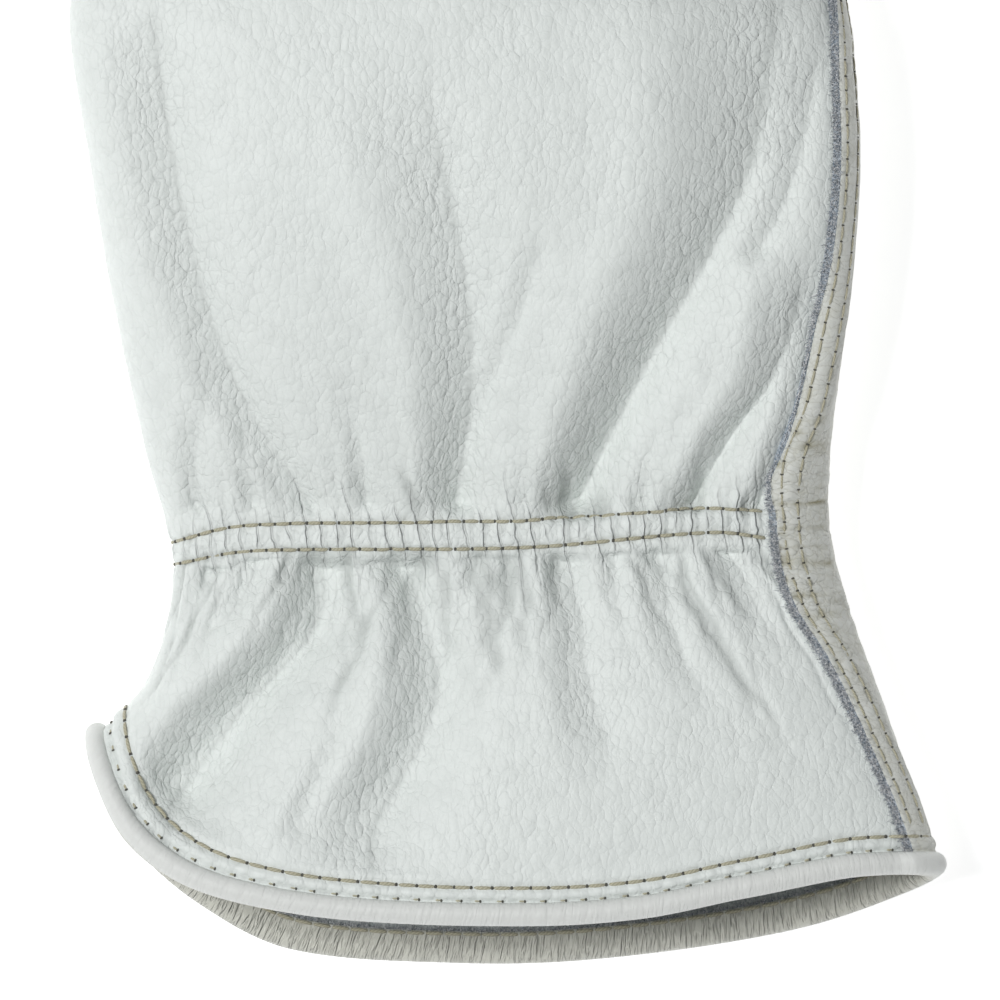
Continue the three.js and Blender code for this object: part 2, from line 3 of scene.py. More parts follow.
import bpy
import numpy as np
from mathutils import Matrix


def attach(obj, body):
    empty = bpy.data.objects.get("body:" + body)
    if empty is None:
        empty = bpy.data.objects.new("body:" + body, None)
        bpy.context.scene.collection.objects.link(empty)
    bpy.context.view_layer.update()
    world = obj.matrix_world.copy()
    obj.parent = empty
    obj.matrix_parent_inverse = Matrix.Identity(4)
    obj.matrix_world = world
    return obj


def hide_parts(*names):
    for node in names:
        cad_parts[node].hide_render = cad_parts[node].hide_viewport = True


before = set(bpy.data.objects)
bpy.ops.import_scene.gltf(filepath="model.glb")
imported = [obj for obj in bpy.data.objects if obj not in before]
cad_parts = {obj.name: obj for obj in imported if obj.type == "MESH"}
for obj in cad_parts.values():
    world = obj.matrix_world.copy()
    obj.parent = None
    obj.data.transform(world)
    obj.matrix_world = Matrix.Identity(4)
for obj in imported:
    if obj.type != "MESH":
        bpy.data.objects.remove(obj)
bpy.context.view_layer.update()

MM = 0.001

# The view: the photograph looks straight down on the cuff of a glove that lies palm down, and crops
# it above the palm. It is a close picture with a long lens.
PHOTO_SIDE = 1000
PHOTO_MM_PER_PIXEL = 0.145
WRIST_ROW_PIXEL = 532
CAMERA_HEIGHT = 1.4
SHARP_HEIGHT = 0.016
SENSOR = 36.0

picture_side = PHOTO_SIDE * PHOTO_MM_PER_PIXEL * MM
camera_data = bpy.data.cameras.new("camera")
camera_data.sensor_width = SENSOR
camera_data.lens = SENSOR * (CAMERA_HEIGHT - SHARP_HEIGHT) / picture_side
camera = bpy.data.objects.new("camera", camera_data)
picture_middle = (WRIST_ROW_PIXEL - PHOTO_SIDE / 2) * PHOTO_MM_PER_PIXEL * MM
camera.location = (0, picture_middle, CAMERA_HEIGHT)
bpy.context.scene.collection.objects.link(camera)
bpy.context.scene.camera = camera


# Studio: a white table under a large soft lamp from the upper left, with white light all round.
def linear(hex_colour):
    """An sRGB hex colour as linear red, green, blue and alpha: the standard sRGB curve undone."""
    channels = [int(hex_colour[i:i + 2], 16) / 255 for i in (1, 3, 5)]
    return tuple(c / 12.92 if c <= 0.04045 else ((c + 0.055) / 1.055) ** 2.4 for c in channels) + (1,)


def add_node(tree, kind, inputs=None, **settings):
    """One shader node: settings are its properties, and inputs gives each named socket a value or
    another node's output."""
    made = tree.nodes.new(kind)
    for name, value in settings.items():
        setattr(made, name, value)
    for name, value in (inputs or {}).items():
        if isinstance(value, bpy.types.NodeSocket):
            tree.links.new(value, made.inputs[name])
        else:
            made.inputs[name].default_value = value
    return made


def new_material(name):
    """An empty node material, its tree, and the piece's own coordinates in it."""
    made = bpy.data.materials.new(name)
    made.use_nodes = True
    made.node_tree.nodes.clear()
    return made, made.node_tree, add_node(made.node_tree, "ShaderNodeTexCoord").outputs["Object"]


def finish_material(tree, inputs):
    """The principled shader with its inputs, joined to the material's output."""
    shader = add_node(tree, "ShaderNodeBsdfPrincipled", inputs)
    add_node(tree, "ShaderNodeOutputMaterial", {"Surface": shader.outputs["BSDF"]})


def noise(tree, place, size, detail=2.0, more=None, **settings):
    """A noise texture node with features of the given size."""
    inputs = {"Vector": place, "Scale": 1 / size, "Detail": detail} | (more or {})
    return add_node(tree, "ShaderNodeTexNoise", inputs, **settings)


def colour_ramp(tree, factor, first, last):
    """The colour between two hex colours, by a factor from 0 to 1."""
    made = add_node(tree, "ShaderNodeValToRGB", {"Fac": factor})
    for element, colour in zip(made.color_ramp.elements, (first, last)):
        element.color = linear(colour)
    return made.outputs["Color"]


def white_table():
    """A table of matt white acrylic, lit from below: near white, broken by a faint large mottle."""
    made, tree, place = new_material("white_table")
    tint = colour_ramp(tree, noise(tree, place, 1 / 6).outputs["Fac"], "#f6f6f6", "#fbfbfb")
    finish_material(tree, {"Base Color": tint, "Emission Color": tint, "Emission Strength": 0.68,
                           "Roughness": 0.9})
    return made


def square_lamp(name, place, target, side, watts):
    """A square area lamp that faces a target."""
    data = bpy.data.lights.new(name, "AREA")
    data.size = side
    data.energy = watts
    lamp = bpy.data.objects.new(name, data)
    lamp.location = place
    aim = np.array(target) - np.array(place)
    flat = math.hypot(aim[0], aim[1])
    lamp.rotation_euler = (math.atan2(flat, -aim[2]), 0, math.atan2(-aim[0], aim[1]) if flat else 0)
    bpy.context.scene.collection.objects.link(lamp)
    return lamp


TABLE_HALF = 2.5
TABLE_DROP = -0.00005
table_mesh = bpy.data.meshes.new("table")
table_corners = [(-TABLE_HALF, -TABLE_HALF, TABLE_DROP), (TABLE_HALF, -TABLE_HALF, TABLE_DROP),
                 (TABLE_HALF, TABLE_HALF, TABLE_DROP), (-TABLE_HALF, TABLE_HALF, TABLE_DROP)]
table_mesh.from_pydata(table_corners, [], [(0, 1, 2, 3)])
table_mesh.materials.append(white_table())
table = bpy.data.objects.new("table", table_mesh)
bpy.context.scene.collection.objects.link(table)
square_lamp("key_lamp", (-0.54, 0.1, 1.15), (0, 0, 0), 0.36, 11.0)
square_lamp("fill_lamp", (0.35, 0.1, 1.2), (0, 0, 0), 0.9, 0.4)
square_lamp("front_lamp", (0.15, -1.1, 0.6), (0, -0.05, 0), 0.6, 1.0)
world = bpy.data.worlds.new("studio_world")
world.use_nodes = True
world.node_tree.nodes["Background"].inputs["Color"].default_value = linear("#fbfdff")
world.node_tree.nodes["Background"].inputs["Strength"].default_value = 0.2
bpy.context.scene.world = world
bpy.context.scene.view_settings.view_transform = "Standard"

# The hide of the back: one piece of white grain leather from the cuff to the four fingertips. It is
# cut from a soft full-grain skin, gathered on hidden elastic at the wrist, and its outer edge runs
# under the lap of the palm.
PALM_WIDTH = 113.5
WRIST_WIDTH = 96.0
CUFF_WIDTH = 121.0
HAND_HEIGHT = 37.0
WRIST_HEIGHT = 21.5
CUFF_HEIGHT = 25.0
HAND_LENGTH = 108.0
CUFF_LENGTH = 55.0
FINGER_LENGTH = 86.0
FINGER_WIDTH = 25.5
FINGER_HEIGHT = 20.0
HIDE = 1.0
SEAM_GAP = 0.015
LAP_COVER = 5.0
LAP_RAMP = 4.0
FULLNESS = (0.3, 0.45)
BINDING_OUTER = HIDE / 2 + 1.3
CROTCH_TURN = 1.5
FORK_SPREAD = 0.72
TIP_PARTING = 1.0
TURN = 2 * math.pi


def table_of(names, rows):
    """Rows of a table as one array for each named column."""
    return {name: np.array([row[c] for row in rows]) for c, name in enumerate(names.split())}


SECTIONS = table_of("along width left right height rise edge_left edge_right under", [
    [-1, CUFF_WIDTH, -0.487, 0.522, CUFF_HEIGHT, 0.98, 0.5, 0.5, 1],
    [-0.8, CUFF_WIDTH, -0.434, 0.5, CUFF_HEIGHT, 1, 0.48, 0.48, 0.9],
    [-0.55, CUFF_WIDTH, -0.408, 0.466, CUFF_HEIGHT, 0.98, 0.46, 0.46, 0.8],
    [-0.25, WRIST_WIDTH, -0.495, 0.5325, WRIST_HEIGHT, 1.06, 0.45, 0.45, 0.8],
    [0, WRIST_WIDTH, -0.504, 0.5, WRIST_HEIGHT, 1, 0.45, 0.45, 0.8],
    [0.1, WRIST_WIDTH, -0.533, 0.5, WRIST_HEIGHT, 1.18, 0.45, 0.44, 0.8],
    [0.3, PALM_WIDTH, -0.491, 0.444, HAND_HEIGHT, 0.88, 0.47, 0.42, 1.2],
    [0.5, PALM_WIDTH, -0.521, 0.452, HAND_HEIGHT, 0.99, 0.55, 0.42, 2.2],
    [0.714, PALM_WIDTH, -0.546, 0.441, HAND_HEIGHT, 1, 0.62, 0.42, 3.8],
    [0.87, PALM_WIDTH, -0.53, 0.432, HAND_HEIGHT, 0.93, 0.64, 0.42, 3.8],
    [1, PALM_WIDTH, -0.5, 0.425, HAND_HEIGHT, 0.8, 0.6, 0.42, 2],
])
SECTIONS["left"] = SECTIONS["left"] * SECTIONS["width"] + HIDE / 2
SECTIONS["right"] = SECTIONS["right"] * SECTIONS["width"] - HIDE / 2
SECTIONS["top"] = SECTIONS["rise"] * SECTIONS["height"]
SECTIONS["edge_left"] = SECTIONS["edge_left"] * SECTIONS["top"]
SECTIONS["edge_right"] = SECTIONS["edge_right"] * SECTIONS["top"]

HEM = table_of("girth reach", [
    [0, 0.535], [0.03, 0.63], [0.065, 0.776], [0.103, 0.884], [0.14, 0.945], [0.19, 0.988],
    [0.258, 1], [0.3, 0.98], [0.34, 0.93], [0.404, 0.872], [0.5, 0.884], [0.56, 0.93],
    [0.64, 1.036], [0.72, 1.107], [0.77, 1.117], [0.84, 1.08], [0.885, 0.96], [0.93, 0.8],
    [0.97, 0.62], [1, 0.535],
])
LAP = table_of("along girth", [
    [-1, 0.443], [-0.7, 0.43], [-0.4, 0.417], [-0.2, 0.402], [0, 0.403],
    [0.09, 0.407], [0.18, 0.424], [0.4, 0.439], [0.7, 0.453], [1, 0.455],
])
# Folds that run out of the gathers, seen from above in mm: each is a rounded ridge that falls away to
# the right, ever steeper, into a crease along the line through its four points, and rises again beyond
# it. The first point is the one farthest up the hand; widths and depths are at the first and last.
DRAPES = table_of("x0 y0 x1 y1 x2 y2 x3 y3 width0 width3 depth0 depth3", [
    [38.9, 72.8, 35.1, 51, 21, 24.2, 10.7, 3.5, 8.4, 3.5, 4.4, 6.8],
    [-49.3, 68.4, -44.7, 42.3, -38.3, 22, -27.3, 3.5, 4.9, 2.6, 3, 2.4],
    [-10.4, 61.2, -5.5, 38, -4.3, 23.5, -6.4, 3.5, 6.7, 2.9, 1.5, 4.4],
    [5.8, 40.9, 2.3, 30, -1.2, 22, -3.8, 13.3, 1.7, 1.3, 0.75, 0.56],
    [45.2, 68.4, 43.5, 56.8, 40.6, 46.7, 36.5, 39.4, 2.6, 2, 1.12, 1.5],
    [42.9, 35.1, 39.1, 22, 33.6, 14.5, 27.3, 3.5, 3.2, 2, 2.4, 4],
    [45.2, 35.1, 44.4, 26.4, 42, 16.2, 37.1, 3.5, 2, 1.4, 1.5, 1.88],
    [-21.8, 22, -20.7, 14.8, -19.7, 9, -19.4, 3.5, 1.7, 1.2, 0.19, 1.31],
    [-37, 16.2, -37.1, 11.9, -36.2, 7.5, -35.4, 3.5, 1.7, 1.2, 0.19, 1.12],
    [3.5, 16.2, 3.9, 11.9, 3.8, 7.5, 3.3, 3.5, 1.7, 1.2, 0.19, 1.12],
    [22.9, 16.2, 21.8, 11.9, 20.9, 7.5, 20.3, 3.5, 1.7, 1.2, 0.19, 1.12],
    [-42, 22, -43.2, 16.2, -44.1, 9, -43.5, 3.5, 2, 1.3, 0.38, 1.31],
    [-25.5, -3.5, -26.7, -13.5, -38, -26.5, -48.4, -40.6, 3.5, 6.4, 4.8, 8],
    [-35.1, -3.5, -36.2, -7.7, -38.9, -11.6, -42.8, -15.7, 1.7, 2, 1.88, 0.56],
    [-14.2, -3.3, -10.1, -15.7, -10.1, -26.5, -18.6, -43.2, 2.6, 5.5, 4.4, 4.8],
    [9, -3, 11.3, -12.8, 12.2, -20.7, 15.1, -30.9, 2.3, 3.5, 2.6, 1.31],
    [22.5, -2.3, 24.4, -11.3, 26.4, -18.6, 29.6, -24.4, 1.9, 2.2, 1.88, 0.38],
    [-3.2, -3.3, -4.1, -7, -5.5, -11.3, -6.4, -15.7, 1.6, 1.4, 1.5, 0.38],
    [32.5, -2.3, 35.1, -7, 37.1, -11.3, 39.4, -15.7, 1.7, 1.7, 1.88, 0.38],
    [-41.5, -4.9, -42.3, -7.7, -43.8, -9.9, -45.5, -12.8, 1.3, 1.3, 1.5, 0.19],
    [1, -3.3, 0.7, -7.7, 0.3, -11.3, -0.3, -15.7, 1.3, 1.4, 1.12, 0.19],
    [16.5, -2.8, 16.5, -6.2, 17.1, -9.9, 18, -14.2, 1.3, 1.4, 1.31, 0.19],
    [-18.3, -3.6, -18.6, -7, -19.4, -9.9, -20.9, -15.7, 1.4, 1.4, 1.31, 0.19],
    [-21.8, -24.4, -23.5, -30.2, -26.4, -36, -29, -41.8, 1.4, 1.7, 0.38, 1.69],
])
FINGERS = table_of("centre width height length fan lift back_edge palm_edge", [
    [-0.383, 1, 1, 0.92, -6, 0.42, -0.05, 0.95],
    [-0.146, 1.02, 1.03, 1, -1.5, 0.14, 0.166, 0.834],
    [0.093, 1, 1, 0.93, 3, 0.05, 0.25, 0.75],
    [0.324, 0.92, 0.9, 0.74, 8, 0, 0.333, 0.667],
])
INDEX, LITTLE = 0, 3
CROTCHES = np.array([0.94, 1, 1, 0.95, 0.86])


def follow(table, key, column, at):
    """A smooth curve through a column: cubic pieces whose end slopes are the mean slopes of the rows."""
    places, values = table[key], table[column]
    last = len(places) - 1
    at = np.clip(at, places[0], places[-1])
    row = np.clip(np.searchsorted(places, at, side="left") - 1, 0, last - 1)
    before = np.maximum(np.arange(last + 1) - 1, 0)
    after = np.minimum(np.arange(last + 1) + 1, last)
    slopes = (values[after] - values[before]) / (places[after] - places[before])
    step = places[row + 1] - places[row]
    t = (at - places[row]) / step
    rise = values[row + 1] - values[row]
    start, end = slopes[row] * step, slopes[row + 1] * step
    square, cube = t * t, t ** 3
    return values[row] + t * start + square * (3 * rise - 2 * start - end) + cube * (start + end - 2 * rise)


def smooth(value, low, high):
    """0 below low and 1 above high, with the cubic 3t2 - 2t3 between them."""
    t = np.clip((value - low) / (high - low), 0, 1)
    return t * t * (3 - 2 * t)


def lerp(a, b, t):
    """The straight mix of a and b."""
    return a + (b - a) * t


def unit(vectors):
    """The same directions with a length of one."""
    return vectors / np.linalg.norm(vectors, axis=-1, keepdims=True)


def folds_at(x, y):
    """For each fold, how far a point lies to the right of the fold's line, in widths, and the fold's
    depth there. A fold ends at the wrist and dies out at its other end."""
    for row in zip(*DRAPES.values()):
        places, points = np.array(row[1:8:2])[::-1], np.array(row[0:8:2])[::-1]
        line = table_of("place point", list(zip(places, points)))
        share = (places[-1] - y) / (places[-1] - places[0])
        inside = np.clip(share, 0, 1)
        aside = (x - follow(line, "place", "point", y)) / lerp(row[8], row[9], inside)
        if places[0] > 0:
            ends = smooth(share, -0.25, 0.2) * smooth(share, 1.04, 0.98)
        else:
            ends = smooth(share, -0.03, 0.05) * smooth(share, 1.35, 0.8)
        yield aside, lerp(row[10], row[11], inside) * ends


def fold_height(x, y):
    """Sum over the folds of a valley -depth exp(-e), where e grows with the distance d from the crease,
    and a low ridge a depth-third high where d is -2."""
    height = np.zeros(np.broadcast(x, y).shape)
    for aside, depth in folds_at(x, y):
        rounding = lerp(0.75, 0.3, smooth(y, -3, 3))
        away = np.sqrt(aside * aside + rounding ** 2) - rounding
        height -= depth * (np.exp(-away) - 0.3 * np.exp(-((aside + 2) / 0.9) ** 2))
    return height


def fold_share(x, y, shift, width):
    """Sum over the folds of a bell of the given width, shifted to the left of the crease, up to 1."""
    total = np.zeros(np.broadcast(x, y).shape)
    for aside, depth in folds_at(x, y):
        total += np.minimum(depth / 2, 1) * np.exp(-((aside + shift) / width) ** 2)
    return np.minimum(total, 1)


def cuff_reach(girth):
    """Length of the cuff at a girth, from the wrist line to the hem."""
    return CUFF_LENGTH * follow(HEM, "girth", "reach", girth % 1)


def hand_point(girth, along, forward):
    """Middle surface of the hide round the hand: an oval whose half width and height follow SECTIONS,
    flattened on the table below, with the folds added above. forward is mm to the fingers."""
    names = ("left", "right", "top", "edge_left", "edge_right", "under")
    left, right, top, edge_left, edge_right, under_power = (
        follow(SECTIONS, "along", name, along) for name in names)
    top = top - HIDE / 2
    across = (1 - np.cos(TURN * girth)) / 2
    edge = lerp(edge_left, edge_right, smooth(across, 0.1, 0.9))
    sine = np.sin(TURN * girth)
    over_power = lerp(*FULLNESS, smooth(across, 0.2, 0.6))
    over = edge + (top - edge) * np.maximum(sine, 0) ** over_power
    under_power = lerp(under_power, 0.8, smooth(across, 0.35, 0.6))
    under = np.maximum(edge * (1 - 1.2 * np.maximum(-sine, 0) ** under_power), HIDE / 2)
    up = np.where(sine < 0, under, over)
    near_hem = smooth(-along, 0.8, 1)
    up = up + near_hem * (BINDING_OUTER - HIDE / 2) * smooth(-sine, -0.2, 0.6) * smooth(-up, -6, 0)
    x, y = lerp(left, right, across), along * np.where(along < 0, cuff_reach(girth), forward)
    folded = smooth(sine, 0.05, 0.35) * smooth(y, 105, 90) * smooth(along, -0.99, -0.82)
    return np.stack([x, y, up + folded * fold_height(x, y)], -1)


def side_limit(finger, side, t):
    """Half the way to the neighbour on a side (-1 or 1), or None on the outer sides."""
    other = finger + side
    if other < INDEX or other > LITTLE:
        return None
    fan = np.sin(np.radians(FINGERS["fan"])) * FINGERS["length"] * FINGER_LENGTH
    spread = FINGERS["centre"] * PALM_WIDTH
    return np.abs(spread[other] + fan[other] * t - (spread[finger] + fan[finger] * t)) / 2


def fork_angle(t):
    """Half angle that a fork covers on a finger's side, narrowing to nothing at the tip."""
    return FORK_SPREAD * np.sqrt(np.maximum(1 - (t / 0.965) ** 3, 0))


def finger_point(finger, angle, t):
    """Middle surface of the hide round a finger: a squared oval along a fanned line, drawn in to a
    rounded tip, and widened to its neighbour at the crotch."""
    row = {name: FINGERS[name][finger] for name in FINGERS}
    narrow = 1 - 0.14 * t
    tip_width = 1 - 0.62 * (smooth(t, 0.7, 1.12) / smooth(1, 0.7, 1.12)) ** 2 * (t > 0.7)
    tip_height = np.sqrt(np.maximum(1 - np.maximum((t - 0.7) / 0.3, 0) ** 2, 0))
    half_width = (row["width"] * FINGER_WIDTH - HIDE) / 2 * narrow * tip_width
    half_height = (row["height"] * FINGER_HEIGHT - HIDE) / 2 * narrow * tip_height
    cosine, sine = np.cos(angle), np.sin(angle)
    aside = half_width * np.abs(cosine) ** 0.75
    for side in (-1, 1):
        limit = side_limit(finger, side, t)
        if limit is None:
            continue
        seam = half_width * math.cos(FORK_SPREAD) ** 0.75
        stretch = lerp(limit / seam, 1, smooth(t, 0, 0.12))
        held = np.minimum(aside * stretch, limit - CROTCH_TURN * smooth(t, 0, 0.05))
        aside = np.where((cosine > 0) == (side > 0), held, aside)
    signed = np.where(cosine > 0, aside, -aside)
    crotch = HAND_LENGTH * lerp(CROTCHES[finger], CROTCHES[finger + 1], (1 + cosine) / 2)
    level = HAND_LENGTH * (CROTCHES[finger] + CROTCHES[finger + 1]) / 2
    start = lerp(crotch, level, smooth(t, 0.02, 0.3))
    reach = row["length"] * FINGER_LENGTH * t
    fan = math.radians(row["fan"])
    middle = row["height"] * FINGER_HEIGHT / 2 + SEAM_GAP + row["lift"] * FINGER_HEIGHT * (1 - t) ** 2
    return np.stack(np.broadcast_arrays(
        row["centre"] * PALM_WIDTH + math.sin(fan) * reach + math.cos(fan) * signed,
        start + math.cos(fan) * reach - math.sin(fan) * signed * smooth(t, 0, 0.3),
        middle + half_height * np.sign(sine) * np.abs(sine) ** 0.75), -1)


def girth_per_mm(girth, along):
    """Girth share of one millimetre along the surface, by a small step each way."""
    step = 0.004
    apart = hand_point(girth + step, along, 0) - hand_point(girth - step, along, 0)
    return 2 * step / np.hypot(apart[..., 0], apart[..., 2])


def even_girths(start, end, shares):
    """Girth shares that part the girth of a plain oval hand evenly, at the given shares of its way."""
    middle = (np.arange(240) + 0.5) / 240
    angle = TURN * lerp(start, end, middle)
    speed = np.hypot(PALM_WIDTH * np.sin(angle), HAND_HEIGHT * 1.3 * np.cos(angle))
    lengths = np.concatenate([[0], np.cumsum(speed)])
    return lerp(start, end, np.interp(shares * lengths[-1], lengths, np.linspace(0, 1, 241)))


def lap_girth(along):
    """Girth of the raw edge of the lap."""
    return follow(LAP, "along", "girth", np.minimum(along, 1))


def under_lap(along, share):
    """Girth at a share of the lap's cover, measured along the surface from its raw edge."""
    edge = lap_girth(along)
    return edge + share * LAP_COVER * girth_per_mm(edge, along)


LEFT_SEAM_ANGLE = math.pi * 1.11
LAP_ANGLE = 0.5


def under_lap_angle(share):
    """The same place on the little finger, as an angle round it."""
    return LAP_ANGLE - share * LAP_COVER / (FINGERS["height"][LITTLE] * FINGER_HEIGHT / 2)


def hide_points(finger, girth, angle, row, seam, shift):
    """Points of the middle surface. Rows up to 1 lie on the hand and blend into the finger's root, and
    rows above 1 are 1 plus the share of the finger; shift parts the seams of back and palm."""
    t = np.maximum(row - 1, 0)
    on_finger = finger_point(finger, angle, t)
    on_finger[..., 2] += shift * lerp(seam, TIP_PARTING, smooth(t, 0.8, 1))
    along = np.minimum(row, 1)
    forward = lerp(HAND_LENGTH, on_finger[..., 1], smooth(row, 0.3, 1))
    on_hand = hand_point(girth, along, forward)
    blend = smooth(row, 0.7, 1)[..., None]
    mixed = on_hand.copy()
    mixed[..., 0::2] = lerp(on_hand[..., 0::2], on_finger[..., 0::2], blend)
    return np.where(row[..., None] >= 1, on_finger, mixed)


def hide_block(finger, share_girth, share_angle, seam, shift, rows):
    """The grid of points for the columns of one finger, by rows."""
    row = rows[:, None]
    girth, angle = share_girth(np.minimum(row, 1)), share_angle(np.maximum(row - 1, 0))
    return hide_points(finger, girth, angle, row, seam, shift)


def value_noise(place, cell, seed):
    """Smooth noise from -1 to 1: random values on a square lattice of the given cell, mixed cubically."""
    lattice = np.random.default_rng(seed).uniform(-1, 1, (97, 97))
    scaled = place / cell
    low = np.floor(scaled).astype(int)
    part = scaled - low
    part = part * part * (3 - 2 * part)
    i, j = low[..., 0] % 96, low[..., 1] % 96
    near = lerp(lattice[i, j], lattice[i + 1, j], part[..., 0])
    far = lerp(lattice[i, j + 1], lattice[i + 1, j + 1], part[..., 0])
    return lerp(near, far, part[..., 1])


STITCH_PITCH = 2.36
# The two rows of the shirring, in mm above the wrist line, by the share of the way across
SHIRRING = table_of("across upper lower", [
    [0, -1.5, -4.7], [0.1, 0.8, -2.9], [0.23, 1.3, -2.5], [0.54, 1.7, -2.2],
    [0.83, 3.4, 0], [0.92, 2.8, -1.1], [1, 2.2, -1.6],
])


def wrist_length(girth):
    """Millimetres round the wrist from the left fold over the back, for an oval of its size."""
    fine = np.linspace(-0.1, 0.6, 701)
    speed = TURN * np.hypot(WRIST_WIDTH / 2 * np.sin(TURN * fine), WRIST_HEIGHT / 2 * np.cos(TURN * fine))
    lengths = np.concatenate([[0], np.cumsum((speed[1:] + speed[:-1]) / 2 * np.diff(fine))])
    return np.interp(girth, fine, lengths)


def above_wrist(girth, along):
    """Signed millimetres from the wrist line along the hide."""
    return along * np.where(along >= 0, HAND_LENGTH, cuff_reach(girth))


def gather_coordinates(girth, along):
    """The count of ribs round the wrist, and the place between the two rows of the shirring: -1 on the
    lower row, 1 on the upper one, and on in the same measure beyond them."""
    across = (1 - np.cos(TURN * girth)) / 2
    upper, lower = (follow(SHIRRING, "across", row, across) for row in ("upper", "lower"))
    row = (2 * above_wrist(girth, along) - upper - lower) / (upper - lower)
    return wrist_length(girth) / STITCH_PITCH, row


def pleat_relief(girth, along):
    """Gathers: rounded ribs one stitch wide between the two rows of the shirring, which die out into
    the hide above and below at lengths that vary from rib to rib, with a groove under each row."""
    phase, row = gather_coordinates(girth, along)
    sway = 0.3 * value_noise(np.stack([phase * 0.5, row], -1), 1, 5)
    rib = np.abs(np.sin(math.pi * (phase + sway))) ** 0.7
    chance = np.random.default_rng(11).uniform(0, 1, 400)[(np.round(phase).astype(int) + 60) % 400]
    outside = np.maximum(np.abs(row) - 1, 0)
    fade = np.exp(-outside / lerp(0.3, 2.2, chance ** 2))
    groove = np.exp(-((np.abs(row) - 1) / 0.28) ** 2)
    return 0.4 * (rib - 1) * fade * lerp(0.6, 1, chance) - 0.32 * groove + 0.1 * smooth(np.abs(row), 1, 0.4)


def small_creases(girth, along):
    """Fine drawn lines that fan out of the gathers: seeded straight paths, each a narrow bell across."""
    random = np.random.default_rng(23)
    height = above_wrist(girth, along)
    relief = np.zeros(np.broadcast(girth, along).shape)
    for side, count, longer, leaning in ((1, 46, 1, 1), (-1, 64, 1.7, 3)):
        for _ in range(count):
            start = random.uniform(0.03, 0.395)
            length = random.uniform(5, 26) * (0.6 + 0.4 * random.uniform()) * longer
            slant = ((start - 0.25) * random.uniform(0.004, 0.016) + random.normal(0, 0.0006)) * leaning
            depth = random.uniform(0.08, 0.3) * longer
            width = random.uniform(0.0022, 0.004)
            out = height * side - 2
            path = start + slant * np.maximum(out, 0) * 0.5
            share = np.clip(out / length, 0, 1)
            path = path + 0.0016 * np.sin(out * 0.7 + start * 300)
            across = np.exp(-((girth - path) / width) ** 2)
            relief -= depth * np.sin(math.pi * share ** 0.6) * across
    return relief


# The groove beside the roll and the row of top-stitching, in mm from the folded edge
HEM_LINES = (1.8, 3.75)
HEM_PITCH = 2.75


def lengths_along(line):
    """Lengths along a line of points, from 0 at the first one."""
    return np.concatenate([[0], np.cumsum(np.linalg.norm(np.diff(line, axis=0), axis=1))])


def edge_phase(girth):
    """Stitches along the hem from the left fold, with the hem's own length at each girth."""
    fine = np.linspace(0, 1, 1001)
    line = hand_point(fine, np.full_like(fine, -0.999), 0)
    return np.interp(girth % 1, fine, lengths_along(line)) / HEM_PITCH


def hem_relief(girth, along):
    """Near the hem: a padded band between the top-stitching and the groove of the rolled edge, pinched
    at every stitch."""
    groove_line, top_line = HEM_LINES
    edge = (along + 1) * cuff_reach(girth)
    pinch = 1 - np.abs(np.sin(math.pi * edge_phase(girth))) ** 0.7
    band = smooth(edge, groove_line - 0.1, groove_line + 0.6) * smooth(edge, top_line + 0.1, top_line - 0.6)
    stitch_line = np.exp(-((edge - top_line) / 0.6) ** 2)
    beyond = np.exp(-((edge - top_line - 1.1) / 0.8) ** 2)
    groove = np.exp(-((edge - groove_line) / 0.45) ** 2)
    return band * (0.45 - 0.3 * pinch) - 0.25 * stitch_line + 0.15 * beyond - 0.45 * groove


def pebbles(points, seed):
    """Medium unevenness of a soft skin: two sizes of smooth noise, in millimetres."""
    flat = points[..., :2] + points[..., 2:] * 0.7
    return 0.07 * value_noise(flat, 3.1, seed) + 0.035 * value_noise(flat, 1.4, seed + 1)


def back_relief(girth, along, points):
    """All the relief of the back on the hand: gathers, creases, hem band and unevenness."""
    return (pleat_relief(girth, along) + small_creases(girth, along) + hem_relief(girth, along)
            + pebbles(points, 3))


def grid_ids(grid):
    """Numbers for the points of a grid, row by row."""
    return np.arange(grid.shape[0] * grid.shape[1]).reshape(grid.shape[:2])


def grid_cells(ids):
    """The quads of a grid of point numbers."""
    return np.stack([ids[:-1, :-1], ids[:-1, 1:], ids[1:, 1:], ids[1:, :-1]], -1).reshape(-1, 4)


def cell_normals(points, cells):
    """A unit normal at each point: the sum of its cells' normals, each the product of the diagonals."""
    a, b, c, d = (points[cells[:, k]] for k in range(4))
    each = np.cross(c - a, d - b)
    total = np.zeros_like(points)
    for k in range(4):
        np.add.at(total, cells[:, k], each)
    return total / np.maximum(np.linalg.norm(total, axis=1, keepdims=True), 1e-12)


def rim_edges(cells):
    """The edges that only one cell uses, in that cell's direction."""
    edges = np.concatenate([cells[:, [k, (k + 1) % 4]] for k in range(4)])
    low, high = edges.min(1), edges.max(1)
    keys = low * (cells.max() + 1) + high
    _, first, counts = np.unique(keys, return_index=True, return_counts=True)
    return edges[first[counts == 1]]


